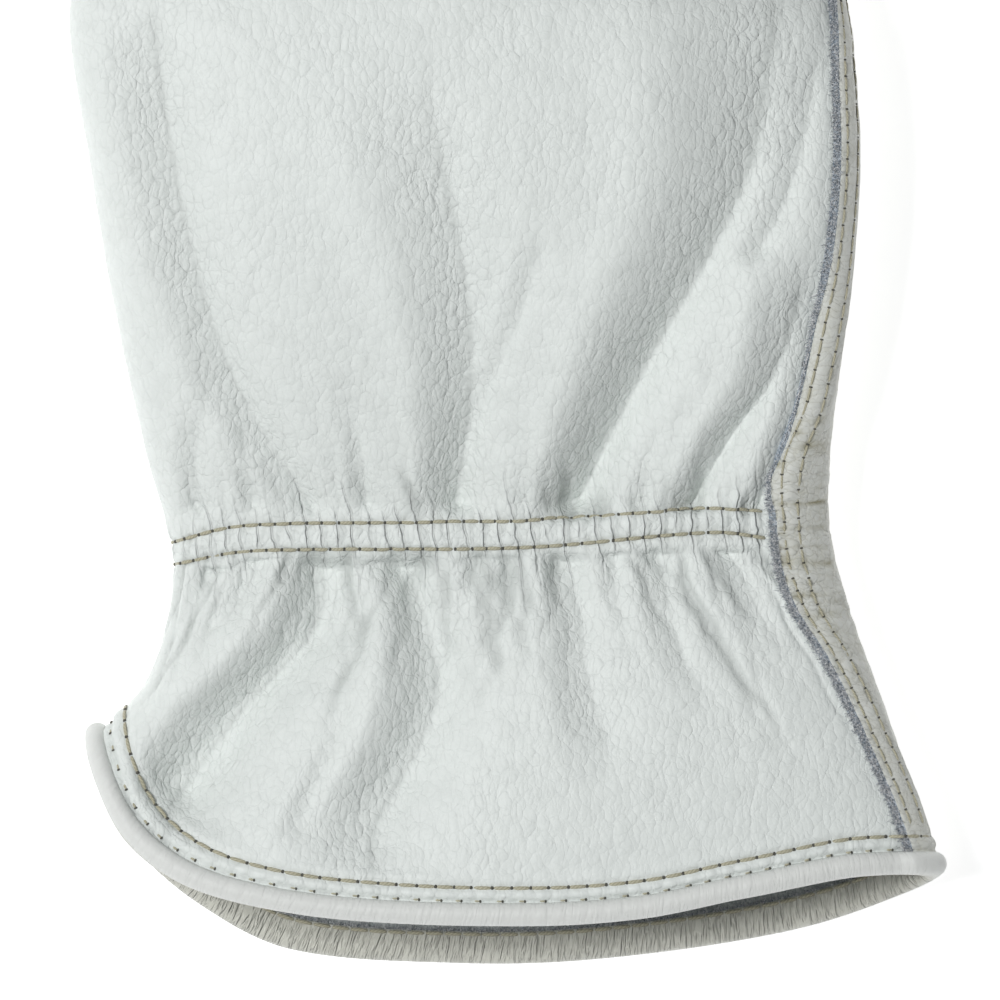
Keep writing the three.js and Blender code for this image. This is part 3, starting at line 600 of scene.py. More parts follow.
def hide_object(name, points, cells, relief, materials, raised=0.0, edge_cut=0.0):
    """A closed wall of hide: every point is pushed out and in by half the hide along its normal. The
    grain side takes the relief, raised lifts the whole wall, and edge_cut slants a raw edge by moving
    its grain side back. The materials are those of the grain side, the flesh side and the cut rims."""
    normals = cell_normals(points, cells)
    lifted = points + normals * (raised + relief * 0.5)[:, None]
    outer = lifted + normals * (HIDE / 2 + relief * 0.5)[:, None] + edge_cut
    inner = lifted - normals * (HIDE / 2)
    inner[:, 2] = np.maximum(inner[:, 2], 0)
    outer[:, 2] = np.maximum(outer[:, 2], 0)
    count = len(points)
    edges = rim_edges(cells)
    rims = np.stack([edges[:, 1], edges[:, 0], edges[:, 0] + count, edges[:, 1] + count], -1)
    faces = np.concatenate([cells, cells[:, ::-1] + count, rims])
    rim_slot = len(materials) - 1
    slots = np.repeat([0, 1, rim_slot], [len(cells), len(cells), len(rims)])
    made = mesh_object(name, np.concatenate([outer, inner]), faces, slots, materials)
    made.data.polygons.foreach_set("use_smooth", np.arange(len(faces)) < 2 * len(cells))
    return made


def mark_points(made, **marks):
    """Named values for a hide's shader, given for its grain side and used for both sides."""
    for name, values in marks.items():
        layer = made.data.attributes.new(name, "FLOAT", "POINT")
        sides = len(made.data.vertices) // len(values)
        layer.data.foreach_set("value", np.tile(values, sides).astype(np.float32))


def mesh_object(name, points, faces, slots, materials):
    """An object from points in millimetres and quads, with a material slot for each face."""
    mesh = bpy.data.meshes.new(name)
    mesh.vertices.add(len(points))
    mesh.vertices.foreach_set("co", (np.asarray(points) * MM).ravel())
    mesh.loops.add(faces.size)
    mesh.loops.foreach_set("vertex_index", faces.ravel())
    mesh.polygons.add(len(faces))
    mesh.polygons.foreach_set("loop_start", np.arange(len(faces)) * faces.shape[1])
    mesh.polygons.foreach_set("material_index", slots)
    mesh.polygons.foreach_set("use_smooth", np.ones(len(faces), bool))
    for material in materials:
        mesh.materials.append(material)
    mesh.validate()
    mesh.update()
    made = bpy.data.objects.new(name, mesh)
    bpy.context.scene.collection.objects.link(made)
    return made


# Across and height of the two sizes of grain pebbles, in mm
PEBBLES_MM = ((1.25, 0.11), (0.62, 0.07))


def attribute(tree, name):
    """A value that the mesh holds for each of its points."""
    return add_node(tree, "ShaderNodeAttribute", attribute_name=name).outputs["Fac"]


def maths(tree, operation, *terms):
    """The output of a math node whose terms are numbers or other outputs."""
    return add_node(tree, "ShaderNodeMath", dict(enumerate(terms)), operation=operation).outputs[0]


def remap(tree, value, low, high, to_low=0.0, to_high=1.0, curve="LINEAR"):
    """The value moved from one range to another, held at both ends."""
    inputs = {"Value": value, "From Min": low, "From Max": high, "To Min": to_low, "To Max": to_high}
    return add_node(tree, "ShaderNodeMapRange", inputs, interpolation_type=curve).outputs[0]


def two_tone(tree, factor, first, last, **settings):
    """The mix of two hex colours."""
    inputs = {"Factor": factor, 6: linear(first), 7: linear(last)}
    return add_node(tree, "ShaderNodeMix", inputs, data_type="RGBA", **settings).outputs[2]


def bump(tree, height, distance, strength=1.0):
    """The surface's direction with a height in units of the distance."""
    inputs = {"Height": height, "Distance": distance, "Strength": strength}
    return add_node(tree, "ShaderNodeBump", inputs).outputs[0]


def gather_crease(tree, place):
    """Height of the sharp creases between the ribs of the shirring: 0 on the ribs and 1 in a crease.
    gather_phase counts the ribs, and gather_row is -1 and 1 on the two rows of stitching."""
    phase = attribute(tree, "gather_phase")
    sway = noise(tree, place, 5 * MM).outputs["Fac"]
    turned = maths(tree, "MULTIPLY", maths(tree, "MULTIPLY_ADD", sway, 0.9, phase), math.pi)
    size = maths(tree, "ABSOLUTE", maths(tree, "SINE", turned))
    crease = remap(tree, size, 0.0, 0.42, 1.0, 0.0, "SMOOTHERSTEP")
    away = maths(tree, "ABSOLUTE", attribute(tree, "gather_row"))
    length = {"W": phase, "Scale": 0.9, "Detail": 0.0}
    length = add_node(tree, "ShaderNodeTexNoise", length, noise_dimensions="1D").outputs["Fac"]
    length = remap(tree, length, 0.3, 0.75, 1.2, 8.0)
    return maths(tree, "MULTIPLY", crease, remap(tree, away, -0.5, length, 1.0, 0.0, "SMOOTHSTEP"))


def grain_leather(name, light, dark, roughness, cell_axis, gathered=False):
    """Full-grain goat skin, drum dyed pearl white: rounded pebbles of two sizes drawn out along the
    hand, with fine crossing creases, all deeper where the strain attribute says the skin is drawn
    together, and faint on the flat. Heights are in mm. The colour carries painted shade: it darkens
    in the grooves between the pebbles, in the hollows that a point attribute marks, and, when
    gathered, in the creases of the shirring."""
    made, tree, place = new_material(name)
    drift = noise(tree, place, 3.0 * MM, 3.0)
    warp = {0: drift.outputs["Color"], 1: (0.5, 0.5, 0.5)}
    warp = add_node(tree, "ShaderNodeVectorMath", warp, operation="SUBTRACT").outputs[0]
    warp = {0: warp, "Scale": 2.0 * MM}
    warp = add_node(tree, "ShaderNodeVectorMath", warp, operation="SCALE").outputs[0]
    bent = add_node(tree, "ShaderNodeVectorMath", {0: place, 1: warp}, operation="ADD").outputs[0]
    drawn = add_node(tree, "ShaderNodeMapping", {"Vector": bent, "Scale": cell_axis}).outputs[0]
    patches = remap(tree, noise(tree, place, 11 * MM, 4.0).outputs["Fac"], 0.35, 0.7, 0.72, 1.25)
    depth = maths(tree, "MULTIPLY_ADD", attribute(tree, "strain"), 0.85, patches)
    domes = []
    for size, weight in PEBBLES_MM:
        cells = {"Vector": drawn, "Scale": 1 / (size * MM)}
        away = add_node(tree, "ShaderNodeTexVoronoi", cells, feature="F1").outputs["Distance"]
        domes.append(maths(tree, "MULTIPLY", maths(tree, "MULTIPLY", away, away), -weight))
    cells["Scale"] = 1 / (PEBBLES_MM[0][0] * MM)
    rims = add_node(tree, "ShaderNodeTexVoronoi", cells, feature="DISTANCE_TO_EDGE").outputs["Distance"]
    rims = remap(tree, rims, 0.0, 0.09, 1.0, 0.0, "SMOOTHSTEP")
    height = maths(tree, "MULTIPLY_ADD", rims, -0.016, maths(tree, "ADD", *domes))
    lines = noise(tree, drawn, 5.5 * MM, 3.0, {"Roughness": 0.55, "Lacunarity": 2.2},
                  noise_type="RIDGED_MULTIFRACTAL").outputs["Fac"]
    lines = remap(tree, lines, 1.05, 1.6, curve="SMOOTHSTEP")
    height = maths(tree, "MULTIPLY", maths(tree, "MULTIPLY_ADD", lines, -0.07, height), depth)
    height = maths(tree, "MULTIPLY_ADD", noise(tree, place, 0.3 * MM).outputs["Fac"], 0.03, height)
    tint = remap(tree, drift.outputs["Fac"], 0.25, 0.7)
    # Painted shade: the colour darkens in the grooves between the pebbles, more where the grain is deeper.
    tint = maths(tree, "MULTIPLY_ADD", maths(tree, "MULTIPLY", rims, depth), -0.5, tint)
    # Painted shade: the colour is darkened where the hide's relief has creases and folds, by a point
    # attribute.
    tint = maths(tree, "MULTIPLY_ADD", attribute(tree, "cavity"), -4.0, tint)
    if gathered:
        crease = gather_crease(tree, place)
        height = maths(tree, "MULTIPLY_ADD", crease, -0.26, height)
        # Painted shade: the colour also darkens in the creases of the shirring.
        tint = maths(tree, "MULTIPLY_ADD", crease, -2.0, tint)
    finish_material(tree, {
        "Base Color": two_tone(tree, tint, dark, light, clamp_factor=False),
        "Normal": bump(tree, height, MM), "Roughness": roughness, "IOR": 1.45, "Specular IOR Level": 0.35,
        "Sheen Weight": 0.05, "Sheen Roughness": 0.5})
    return made


def suede(name, light, dark):
    """The flesh side and cut edges of the skin: short nap, without gloss, mottled grey."""
    made, tree, place = new_material(name)
    nap = noise(tree, place, 0.35 * MM, 5.0, {"Roughness": 0.7}).outputs["Fac"]
    finish_material(tree, {
        "Base Color": two_tone(tree, remap(tree, nap, 0.4, 0.6), dark, light),
        "Normal": bump(tree, nap, 0.07 * MM), "Roughness": 0.95, "IOR": 1.4, "Specular IOR Level": 0.15,
        "Sheen Weight": 0.3, "Sheen Roughness": 0.4})
    return made


back_leather = grain_leather("back_grain_leather", "#e6ebe8", "#e0e5e2", 0.5, (1.0, 0.6, 1.0),
                             gathered=True)
flesh_side = suede("flesh_side_suede", "#d3d7d6", "#a0a6a8")

BACK_ROWS = np.concatenate([
    np.linspace(-1, -0.88, 19)[:-1], np.linspace(-0.88, -0.12, 51)[:-1], np.linspace(-0.12, 0.08, 33)[:-1],
    np.linspace(0.08, 0.78, 66)[:-1], np.linspace(0.78, 1, 13),
])
# Rows of a finger, closer together towards its round tip
tip_rows = 0.8 + 0.2 * np.sin(np.linspace(0, 1, 9)[1:] * math.pi / 2)
FINGER_ROWS = 1 + np.concatenate([np.linspace(0, 0.8, 18)[1:], tip_rows])
BACK_COUNTS = (84, 50, 50, 52)


def panel(blocks, hand_rows):
    """Joins the blocks of a panel, one for each finger, into points and cells: neighbouring blocks
    share their edge column on the hand, and part above the crotch row. Returns also each point's
    girth, along and block."""
    points, girths, alongs, cells = [], [], [], []
    count = 0
    shared = None
    for block in blocks:
        rows = np.concatenate([hand_rows, FINGER_ROWS])
        grid = block["points"](rows)
        ids = grid_ids(grid) + count
        keep = np.ones(grid.shape[:2], bool)
        if shared is not None:
            ids[: len(hand_rows), 0] = shared
            keep[: len(hand_rows), 0] = False
            fresh = np.cumsum(keep.ravel()).reshape(keep.shape) - 1 + count
            ids = np.where(keep, fresh, ids)
        shared = ids[: len(hand_rows), -1]
        count += keep.sum()
        along = np.broadcast_to(rows[:, None], grid.shape[:2])
        girth = np.broadcast_to(block["girth"](np.minimum(rows[:, None], 1)), grid.shape[:2])
        points.append(grid[keep])
        girths.append(girth[keep])
        alongs.append(along[keep])
        cells.append(grid_cells(ids))
    return np.concatenate(points), np.concatenate(girths), np.concatenate(alongs), cells


def back_block(finger, count):
    """The columns of the back that run to one finger."""
    shares = np.linspace(0, 1, count + 1)
    start = FINGERS["back_edge"][finger]
    end = FINGERS["back_edge"][finger + 1] if finger < LITTLE else 0.44
    girths = even_girths(start, end, shares)
    if finger == INDEX:
        girths[0] += SEAM_GAP / 2 * float(girth_per_mm(np.array(start), np.array(0.3)))
    lap_share = (girths - start) / (end - start)
    seam = 1 - smooth(shares, 0.5, 1) if finger == LITTLE else np.ones(count + 1)

    def girth(along):
        if finger == LITTLE:
            return lerp(start, lap_girth(along), lap_share)
        return girths + 0 * along

    def angle(t):
        left = LEFT_SEAM_ANGLE if finger == INDEX else math.pi - fork_angle(t)
        right = LAP_ANGLE if finger == LITTLE else fork_angle(t)
        return lerp(left, right, shares)

    return {"girth": girth,
            "points": lambda rows: hide_block(finger, girth, angle, seam, SEAM_GAP, rows)}


def under_block(shares, seam_shift):
    """The columns of a panel that lie in the lap, from its raw edge to a share of its cover."""
    def girth(along):
        return under_lap(along, shares)

    def angle(t):
        return under_lap_angle(shares) + 0 * t

    seam = np.zeros(len(shares))
    return {"girth": girth,
            "points": lambda rows: hide_block(LITTLE, girth, angle, seam, seam_shift, rows)}


def one_block(left, right):
    """Two blocks of one finger side by side as one, without the column that they share."""
    def girth(along):
        return np.concatenate([left["girth"](along), right["girth"](along)[:, 1:]], 1)

    def points(rows):
        return np.concatenate([left["points"](rows), right["points"](rows)[:, 1:]], 1)

    return {"girth": girth, "points": points}


back_blocks = [back_block(finger, count) for finger, count in enumerate(BACK_COUNTS)]
back_blocks[LITTLE] = one_block(back_blocks[LITTLE], under_block(np.linspace(0, 1, 7), SEAM_GAP))
back_points, back_girths, back_alongs, back_cells = panel(back_blocks, BACK_ROWS)
on_hand = smooth(back_alongs, 1.0, 0.9)
back_relief_mm = on_hand * back_relief(back_girths, np.minimum(back_alongs, 1), back_points)
back_relief_mm += (1 - on_hand) * pebbles(back_points, 3)
# The edge under the lap lies flat
back_relief_mm *= smooth(lap_girth(back_alongs) + 0.004 - back_girths, 0, 0.006)
back_panel = hide_object("back_hide", back_points, np.concatenate(back_cells), back_relief_mm,
                         [back_leather, flesh_side])
phase, row = gather_coordinates(back_girths, back_alongs)
back_x, back_y, _ = back_points.T
near_wrist = 0.7 * np.exp(-(above_wrist(back_girths, back_alongs) / 12) ** 2)
strain = np.minimum(fold_share(back_x, back_y, 0.3, 1.1) + near_wrist, 1)
# Painted shade for the shader: darker colour in the hollows of the relief and along the creases of the
# folds.
cavity = smooth(-back_relief_mm, 0.1, 0.7) + 0.7 * fold_share(back_x, back_y, 0, 0.14) * on_hand
mark_points(back_panel, gather_phase=phase, gather_row=row, strain=strain, cavity=cavity)
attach(back_panel, "root")
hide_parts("back_panel")

# The hide of the palm: one piece that starts at the raw edge of the lap on the back, runs round the
# outer edge of the hand, and covers the palm side of the four fingers, with a hole for the thumb.
LAP_RAISE = HIDE + 0.12
LAP_SHARES = np.concatenate([[0, 0.3, 0.4], np.linspace(0.5, 1.02, 7)])
RAMP_SHARE = (LAP_COVER + LAP_RAMP) / LAP_COVER
# The lap's two rows of stitches, in mm from its raw edge, and the length of a stitch with its gap
LAP_LINES = (2.05, 4.5)
LAP_PITCH = 2.4
THUMB_STRIPS = (2 / 8, 7 / 8)
THUMB_ROWS = (0.38, 0.78)
PALM_ROWS = np.concatenate([
    np.linspace(-1, -0.9, 14)[:-1], np.linspace(-0.9, -0.1, 66)[:-1], np.linspace(-0.1, 0.06, 34)[:-1],
    np.linspace(0.06, THUMB_ROWS[0], 40)[:-1], np.linspace(*THUMB_ROWS, 40)[:-1],
    np.linspace(THUMB_ROWS[1], 1, 20),
])
PALM_COUNTS = (40, 24, 24, 34)


def palm_block(finger, count):
    """The columns of the palm that run to one finger, from its outer side towards the thumb."""
    shares = np.linspace(0, 1, count + 1)
    end = FINGERS["palm_edge"][finger]
    start = 0.5 if finger == LITTLE else FINGERS["palm_edge"][finger + 1]
    girths = even_girths(start, end, shares)
    girth_share = (girths - start) / (end - start)
    seam = smooth(shares, 0, 0.4) if finger == LITTLE else np.ones(count + 1)

    def girth(along):
        if finger == LITTLE:
            return lerp(under_lap(along, RAMP_SHARE), end, girth_share)
        return girths + 0 * along

    def angle(t):
        right = under_lap_angle(RAMP_SHARE) if finger == LITTLE else -fork_angle(t)
        left = LEFT_SEAM_ANGLE - TURN if finger == INDEX else fork_angle(t) - math.pi
        return lerp(right, left, shares)

    return {"girth": girth,
            "points": lambda rows: hide_block(finger, girth, angle, seam, -SEAM_GAP, rows)}


def cross_wrinkles(girth, along, points):
    """Fine wrinkles across the strip of the lap at the wrist: noise drawn out across the strip, deepest
    at the wrist and faint on the hand."""
    height = above_wrist(girth, along)
    strip = smooth(girth, 0.36, 0.41) * smooth(girth, 0.51, 0.465)
    near = np.exp(-(height / 26) ** 2) * strip
    bent = height + 0.8 * value_noise(points[..., :2], 5.0, 31)
    fine = value_noise(np.stack([points[..., 0] * 0.28, bent], -1), 0.62, 32)
    broad = value_noise(np.stack([points[..., 0] * 0.3, bent], -1), 1.9, 33)
    drawn_in = 1 - np.abs(np.sin(math.pi * (bent + 0.5 * broad) / LAP_PITCH)) ** 0.6
    drawn_in = drawn_in * smooth(np.abs(height), 26, 8)
    return near * (0.2 * fine + 0.3 * broad) - 0.45 * drawn_in * strip


def lap_relief(girth, along):
    """Two lines of stitching drawn into the lap, with the leather puffed up between and beside them."""
    into = (girth - lap_girth(along)) / girth_per_mm(lap_girth(along), along)
    lines = sum(np.exp(-((into - line) / 0.38) ** 2) for line in LAP_LINES)
    return -0.2 * lines + 0.1 * smooth(into, 0.4, 1.4) * smooth(into, 6, 5)


palm_blocks = [one_block(under_block(LAP_SHARES, -SEAM_GAP), palm_block(LITTLE, PALM_COUNTS[LITTLE]))]
palm_blocks += [palm_block(finger, PALM_COUNTS[finger]) for finger in (2, 1, 0)]
palm_points, palm_girths, palm_alongs, palm_grids = panel(palm_blocks, PALM_ROWS)
# The thumb's hole is left out of the index finger's block
strips = PALM_COUNTS[INDEX]
first_row, last_row = (int(np.argmin(np.abs(PALM_ROWS - row))) for row in THUMB_ROWS)
cell_ids = np.arange((len(PALM_ROWS) + len(FINGER_ROWS) - 1) * strips).reshape(-1, strips)
hole = np.zeros(cell_ids.size, bool)
left_strip, right_strip = (round(strips * share) for share in THUMB_STRIPS)
hole[cell_ids[first_row:last_row, left_strip:right_strip].ravel()] = True
palm_grids[-1] = palm_grids[-1][~hole]
palm_cells = np.concatenate(palm_grids)
palm_on_hand = smooth(palm_alongs, 1.0, 0.9)
palm_low = np.minimum(palm_alongs, 1)
palm_relief = cross_wrinkles(palm_girths, palm_low, palm_points) + lap_relief(palm_girths, palm_low)
palm_relief = palm_on_hand * palm_relief + 0.5 * hem_relief(palm_girths, palm_low)
palm_relief += pebbles(palm_points, 41)
in_lap = palm_girths < under_lap(palm_low, 1.03)
on_little = palm_points[:, 0] > 0
raise_mm = np.where(in_lap & on_little, LAP_RAISE, 0) * (1 + 0.4 * smooth(palm_alongs, 1.75, 2))
# The raw edge is cut on a slant: its grain side stands back from its flesh side
at_edge = np.abs(palm_girths - lap_girth(palm_low)) < 1e-9
edge_low = palm_low[at_edge]
edge_girth = lap_girth(edge_low)
set_back = 0.18 * LAP_COVER * girth_per_mm(edge_girth, edge_low)
step_in = hand_point(edge_girth + set_back, edge_low, 0) - hand_point(edge_girth, edge_low, 0)
edge_cut = np.zeros_like(palm_points)
edge_cut[at_edge] = step_in * (palm_alongs[at_edge] < 1.8)[:, None]
cut_edge = suede("cut_edge_suede", "#b9c1c8", "#6f7b87")
palm_leather = grain_leather("palm_grain_leather", "#d9dbd6", "#cfd0c8", 0.55, (0.45, 1.2, 1.0))
palm_panel = hide_object("palm_hide", palm_points, palm_cells, palm_relief,
                         [palm_leather, flesh_side, cut_edge], raise_mm, edge_cut)
palm_strain = np.exp(-(above_wrist(palm_girths, palm_low) / 28) ** 2) + 0.15
# Painted shade for the shader: darker colour in the hollows of the palm's relief.
mark_points(palm_panel, strain=np.minimum(palm_strain, 1), cavity=smooth(-palm_relief, 0.1, 0.6))
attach(palm_panel, "root")
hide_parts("palm_panel")

# The forks: three narrow strips of the back's leather, each from one fingertip down to the crotch and
# up the side of the next finger.
FORK_LEGS = np.linspace(0, 0.955, 50)
# Each fork's node, and the length in m and area in m2 of its flat strip
FORKS = (("fork_index_middle", 0.158, 0.00205), ("fork_middle_ring", 0.159, 0.00206),
         ("fork_ring_little", 0.138, 0.0017))


def fork_points(finger):
    """Points of a fork's middle surface: legs down one finger and up the next, by strips across."""
    legs = np.concatenate([-FORK_LEGS[:0:-1], FORK_LEGS])
    t = np.abs(legs)[:, None]
    reach = fork_angle(t) + 0.02
    tilt = reach * np.linspace(-1, 1, 13)
    down = finger_point(finger, tilt, t)
    up = finger_point(finger + 1, math.pi - tilt, t)
    return np.where((legs <= 0)[:, None, None], down, up)


for finger, (node, flat_length, flat_area) in enumerate(FORKS):
    grid = fork_points(finger)
    fork_cells = grid_cells(grid_ids(grid))
    flat = grid.reshape(-1, 3)
    fork = hide_object(node + "_hide", flat, fork_cells, pebbles(flat, 50 + finger),
                       [back_leather, flesh_side], raised=-0.08)
    # Gather marks far from the shirring, so the forks take neither its creases nor their painted shade.
    mark_points(fork, gather_phase=np.full(len(flat), 0.5), gather_row=np.full(len(flat), 50.0))
    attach(fork, "root")
    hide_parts(node)

# The thumb: a tube of the palm's leather with a closed round tip, set into the hole of the palm.
THUMB_LENGTH = 76.0
THUMB_WIDTH = 21.5
THUMB_HEIGHT = 14.5
THUMB_PATH = table_of("station along right up", [
    [0, 0.1, -0.448, 0.62], [0.2, 0.286, -0.449, 0.53], [0.4, 0.457, -0.488, 0.51],
    [0.6, 0.602, -0.613, 0.51], [0.8, 0.747, -0.71, 0.51], [1, 0.885, -0.802, 0.51],
])
THUMB_FIRST_TURN = math.radians(-62)
RIM_SIDES = (4, 5, 4, 5)
RIM_FINE = 5


def thumb_rim():
    """Points round the thumb's hole, set in from the palm's cut edge: up the first side, across the
    top, down the last side and back along the bottom."""
    inset = HIDE / 2 + 0.15
    low, high = THUMB_ROWS[0] + inset / HAND_LENGTH, THUMB_ROWS[1] - inset / HAND_LENGTH
    first, last = THUMB_STRIPS
    corners = [(first, low), (first, high), (last, high), (last, low)]
    strip, row = [], []
    for k, steps in enumerate(RIM_SIDES):
        part = np.arange(steps * RIM_FINE) / (steps * RIM_FINE)
        strip.append(lerp(corners[k][0], corners[(k + 1) % 4][0], part))
        row.append(lerp(corners[k][1], corners[(k + 1) % 4][1], part))
    strip, row = np.concatenate(strip), np.concatenate(row)
    start, end = FINGERS["palm_edge"][INDEX + 1], FINGERS["palm_edge"][INDEX]
    fine = np.linspace(0, 1, 101)
    girth = np.interp(strip, fine, even_girths(start, end, fine))
    edges = even_girths(start, end, np.array(THUMB_STRIPS))
    in_first, in_last = (inset * girth_per_mm(edge, row) for edge in edges)
    girth = np.clip(girth, edges[0] + in_first, edges[1] - in_last)
    angle = lerp(-fork_angle(0.0), LEFT_SEAM_ANGLE - TURN, strip)
    return hide_points(INDEX, girth, angle, row, 1.0, -SEAM_GAP)


def thumb_rings():
    """Rings of the thumb: the rim blends into ovals round the thumb's centre line, which narrow to a
    round tip."""
    rim = thumb_rim()
    tip = 0.8 + 0.2035 * np.sin(np.linspace(0, 1, 18) * math.pi / 2)
    stations = np.concatenate([np.linspace(0, 0.8, 46)[:-1], tip])[:, None]
    inside = np.minimum(stations, 1)
    centre = np.stack([follow(THUMB_PATH, "station", "right", inside) * PALM_WIDTH,
                       HAND_LENGTH * 0.47 + follow(THUMB_PATH, "station", "along", inside) * THUMB_LENGTH,
                       follow(THUMB_PATH, "station", "up", inside) * THUMB_HEIGHT], -1)
    ahead = np.gradient(centre[:, 0], axis=0)
    ahead[-1] = ahead[-2] = ahead[-4]
    ahead = unit(ahead)
    centre[:, 0] += ahead * (stations - inside) * THUMB_LENGTH * 0.9
    right = unit(np.stack([ahead[:, 1], -ahead[:, 0], 0 * ahead[:, 0]], -1))[:, None]
    blunt = np.sqrt(np.maximum(1 - np.maximum((stations - 0.78) / 0.225, 0) ** 2, 0.0004))
    narrow = ((1 - 0.12 * stations) * blunt)[..., None]
    angle = (THUMB_FIRST_TURN + TURN * np.arange(len(rim)) / len(rim))[None, :, None]
    ring = centre + right * (THUMB_WIDTH - HIDE) / 2 * narrow * np.cos(angle)
    ring = ring + np.array([0, 0, 1]) * (THUMB_HEIGHT - HIDE) / 2 * narrow * np.sin(angle)
    return lerp(rim[None], ring, smooth(stations, 0, 0.34)[..., None])


rings = thumb_rings()
ring_ids = grid_ids(rings)
tube = grid_cells(np.concatenate([ring_ids, ring_ids[:, :1]], 1))
# The tip is closed by quads across its last ring
end_ring = ring_ids[-1]
half = len(end_ring) // 2
near, far = end_ring[:half], end_ring[::-1][:half]
tip_cells = np.stack([near[:-1], near[1:], far[1:], far[:-1]], -1)
flat_thumb = rings.reshape(-1, 3)
thumb_cells = np.concatenate([tube, tip_cells])[:, ::-1]
thumb = hide_object("thumb_hide", flat_thumb, thumb_cells, pebbles(flat_thumb, 60),
                    [palm_leather, flesh_side])
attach(thumb, "root")
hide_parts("thumb")

# The hem binding: the leather of the hem rolled round the edge of the cuff. Its outer face starts in a
# groove of the top-stitching, and its inner face is a flat lip with a raw edge inside the cuff.
ROLL = table_of("inward outward", [
    [1.65, 0.1], [1.57, 0.7], [1.36, 1.15], [0.98, 1.55], [0.5, 1.78], [0, 1.86], [-0.6, 1.76],
    [-1.15, 1.42], [-1.58, 0.92], [-1.8, 0.3], [-1.8, -0.35], [-1.55, -0.95], [-1.1, -1.4],
    [-0.5, -1.68], [0.2, -1.74], [0.9, -1.62], [1.6, -1.5], [2.2, -1.42], [2.75, -1.4], [2.95, -1.0],
    [2.85, -0.6], [2, -0.58], [1, -0.58], [0, -0.56], [-0.4, 0], [0, 0.6], [1, 0.6],
])
# The corners of the profile between which the roll becomes the lip, and the corner of its raw edge
LIP_CORNERS = (8.5, 11)
RAW_CORNER = 19


def binding_rings(count):
    """Rings of the roll at even steps along the hem: the profile stands on the hem's inward and
    outward directions, and lifts where it passes over the lap."""
    fine = np.linspace(0, 1, 2001)
    line = hand_point(fine, np.full_like(fine, -1.0), 0)
    lengths = lengths_along(line)
    girth = np.interp(np.arange(count) / count * lengths[-1], lengths, fine)
    along = np.full_like(girth, -1.0)
    centre = hand_point(girth, along, 0)
    inward = unit(hand_point(girth, along + 0.09, 0) - centre)
    tangent = np.roll(centre, -3, axis=0) - np.roll(centre, 3, axis=0)
    outward = unit(np.cross(tangent, inward))
    start, end = lap_girth(-1.0), under_lap(np.array(-1.0), 1.0)
    over_lap = smooth(girth, start - 0.012, start) * smooth(girth, end + 0.012, end)
    grown = ((HIDE + SEAM_GAP) / 2 * over_lap)[:, None]
    return girth, centre + outward * grown, inward, outward, grown


def rolled_leather(name, light, dark):
    """The same skin stretched smooth over the roll and crowded into dense ribs on the lip inside it:
    hem_mm runs along the hem, and lip goes from 0 on the roll to 1 on the lip. The lip takes the
    second, darker colour as painted shade under the roll."""
    made, tree, place = new_material(name)
    lip = attribute(tree, "lip")
    flat = {"X": attribute(tree, "hem_mm"), "Y": attribute(tree, "profile_mm")}
    flat = {"Vector": add_node(tree, "ShaderNodeCombineXYZ", flat).outputs[0], "Scale": (1.9, 0.3, 1.0)}
    skewed = add_node(tree, "ShaderNodeMapping", flat).outputs[0]
    ribs = noise(tree, skewed, 1.25, more={"Roughness": 0.6, "Distortion": 0.4}).outputs["Fac"]
    ribs = remap(tree, ribs, 0.32, 0.62, curve="SMOOTHSTEP")
    height = maths(tree, "MULTIPLY", ribs, remap(tree, lip, 0.0, 1.0, 0.05, 0.36))
    height = maths(tree, "MULTIPLY_ADD", noise(tree, place, 0.5 * MM, 3.0).outputs["Fac"], 0.05, height)
    finish_material(tree, {
        # Painted shade: the lip inside the cuff is given the second, darker colour.
        "Base Color": two_tone(tree, lip, light, dark), "Normal": bump(tree, height, MM),
        "Roughness": 0.5, "IOR": 1.45, "Specular IOR Level": 0.35})
    return made


def binding_relief(girth, profile_share):
    """Wrinkles of the roll: pinches at every stitch on the outer face, dense fine ones on the lip."""
    phase = edge_phase(girth)[:, None]
    outer = smooth(profile_share, 0.4, 0.25)
    pinch = -0.07 * (1 - np.abs(np.sin(math.pi * phase)) ** 0.6) * outer
    place = np.stack(np.broadcast_arrays(phase * HEM_PITCH, profile_share * 9), -1)
    fine = 0.14 * value_noise(place * np.array([1, 0.3]), 0.75, 71)
    broad = 0.12 * value_noise(place * np.array([1, 0.35]), 1.9, 72)
    return pinch + (fine + broad) * lerp(1.0, 0.28, outer)


girth, middle, inward, outward, grown = binding_rings(560)
corners = len(ROLL["inward"])
fine_profile = np.linspace(0, corners, 64, endpoint=False)
closed = {name: np.append(values, values[0]) for name, values in ROLL.items()}
closed["step"] = np.arange(corners + 1)
steps_in = follow(closed, "step", "inward", fine_profile)
steps_out = follow(closed, "step", "outward", fine_profile)
steps_out = steps_out + np.sign(steps_out) * grown
relief = binding_relief(girth, (fine_profile / corners)[None])
swell = 1 + relief / np.maximum(np.hypot(steps_in, steps_out), 0.8)
binding_points = middle[:, None] + inward[:, None] * steps_in[:, None]
binding_points = binding_points + outward[:, None] * (steps_out * swell)[..., None]
binding_points[..., 2] = np.maximum(binding_points[..., 2], 0.02)
ring_ids = grid_ids(binding_points)
ring_ids = np.concatenate([ring_ids, ring_ids[:1]], 0)
binding_cells = grid_cells(np.concatenate([ring_ids, ring_ids[:, :1]], 1))
raw_step = int(np.argmin(np.abs(fine_profile - RAW_CORNER)))
raw = np.tile(np.arange(len(fine_profile)) >= raw_step - 1, len(girth))
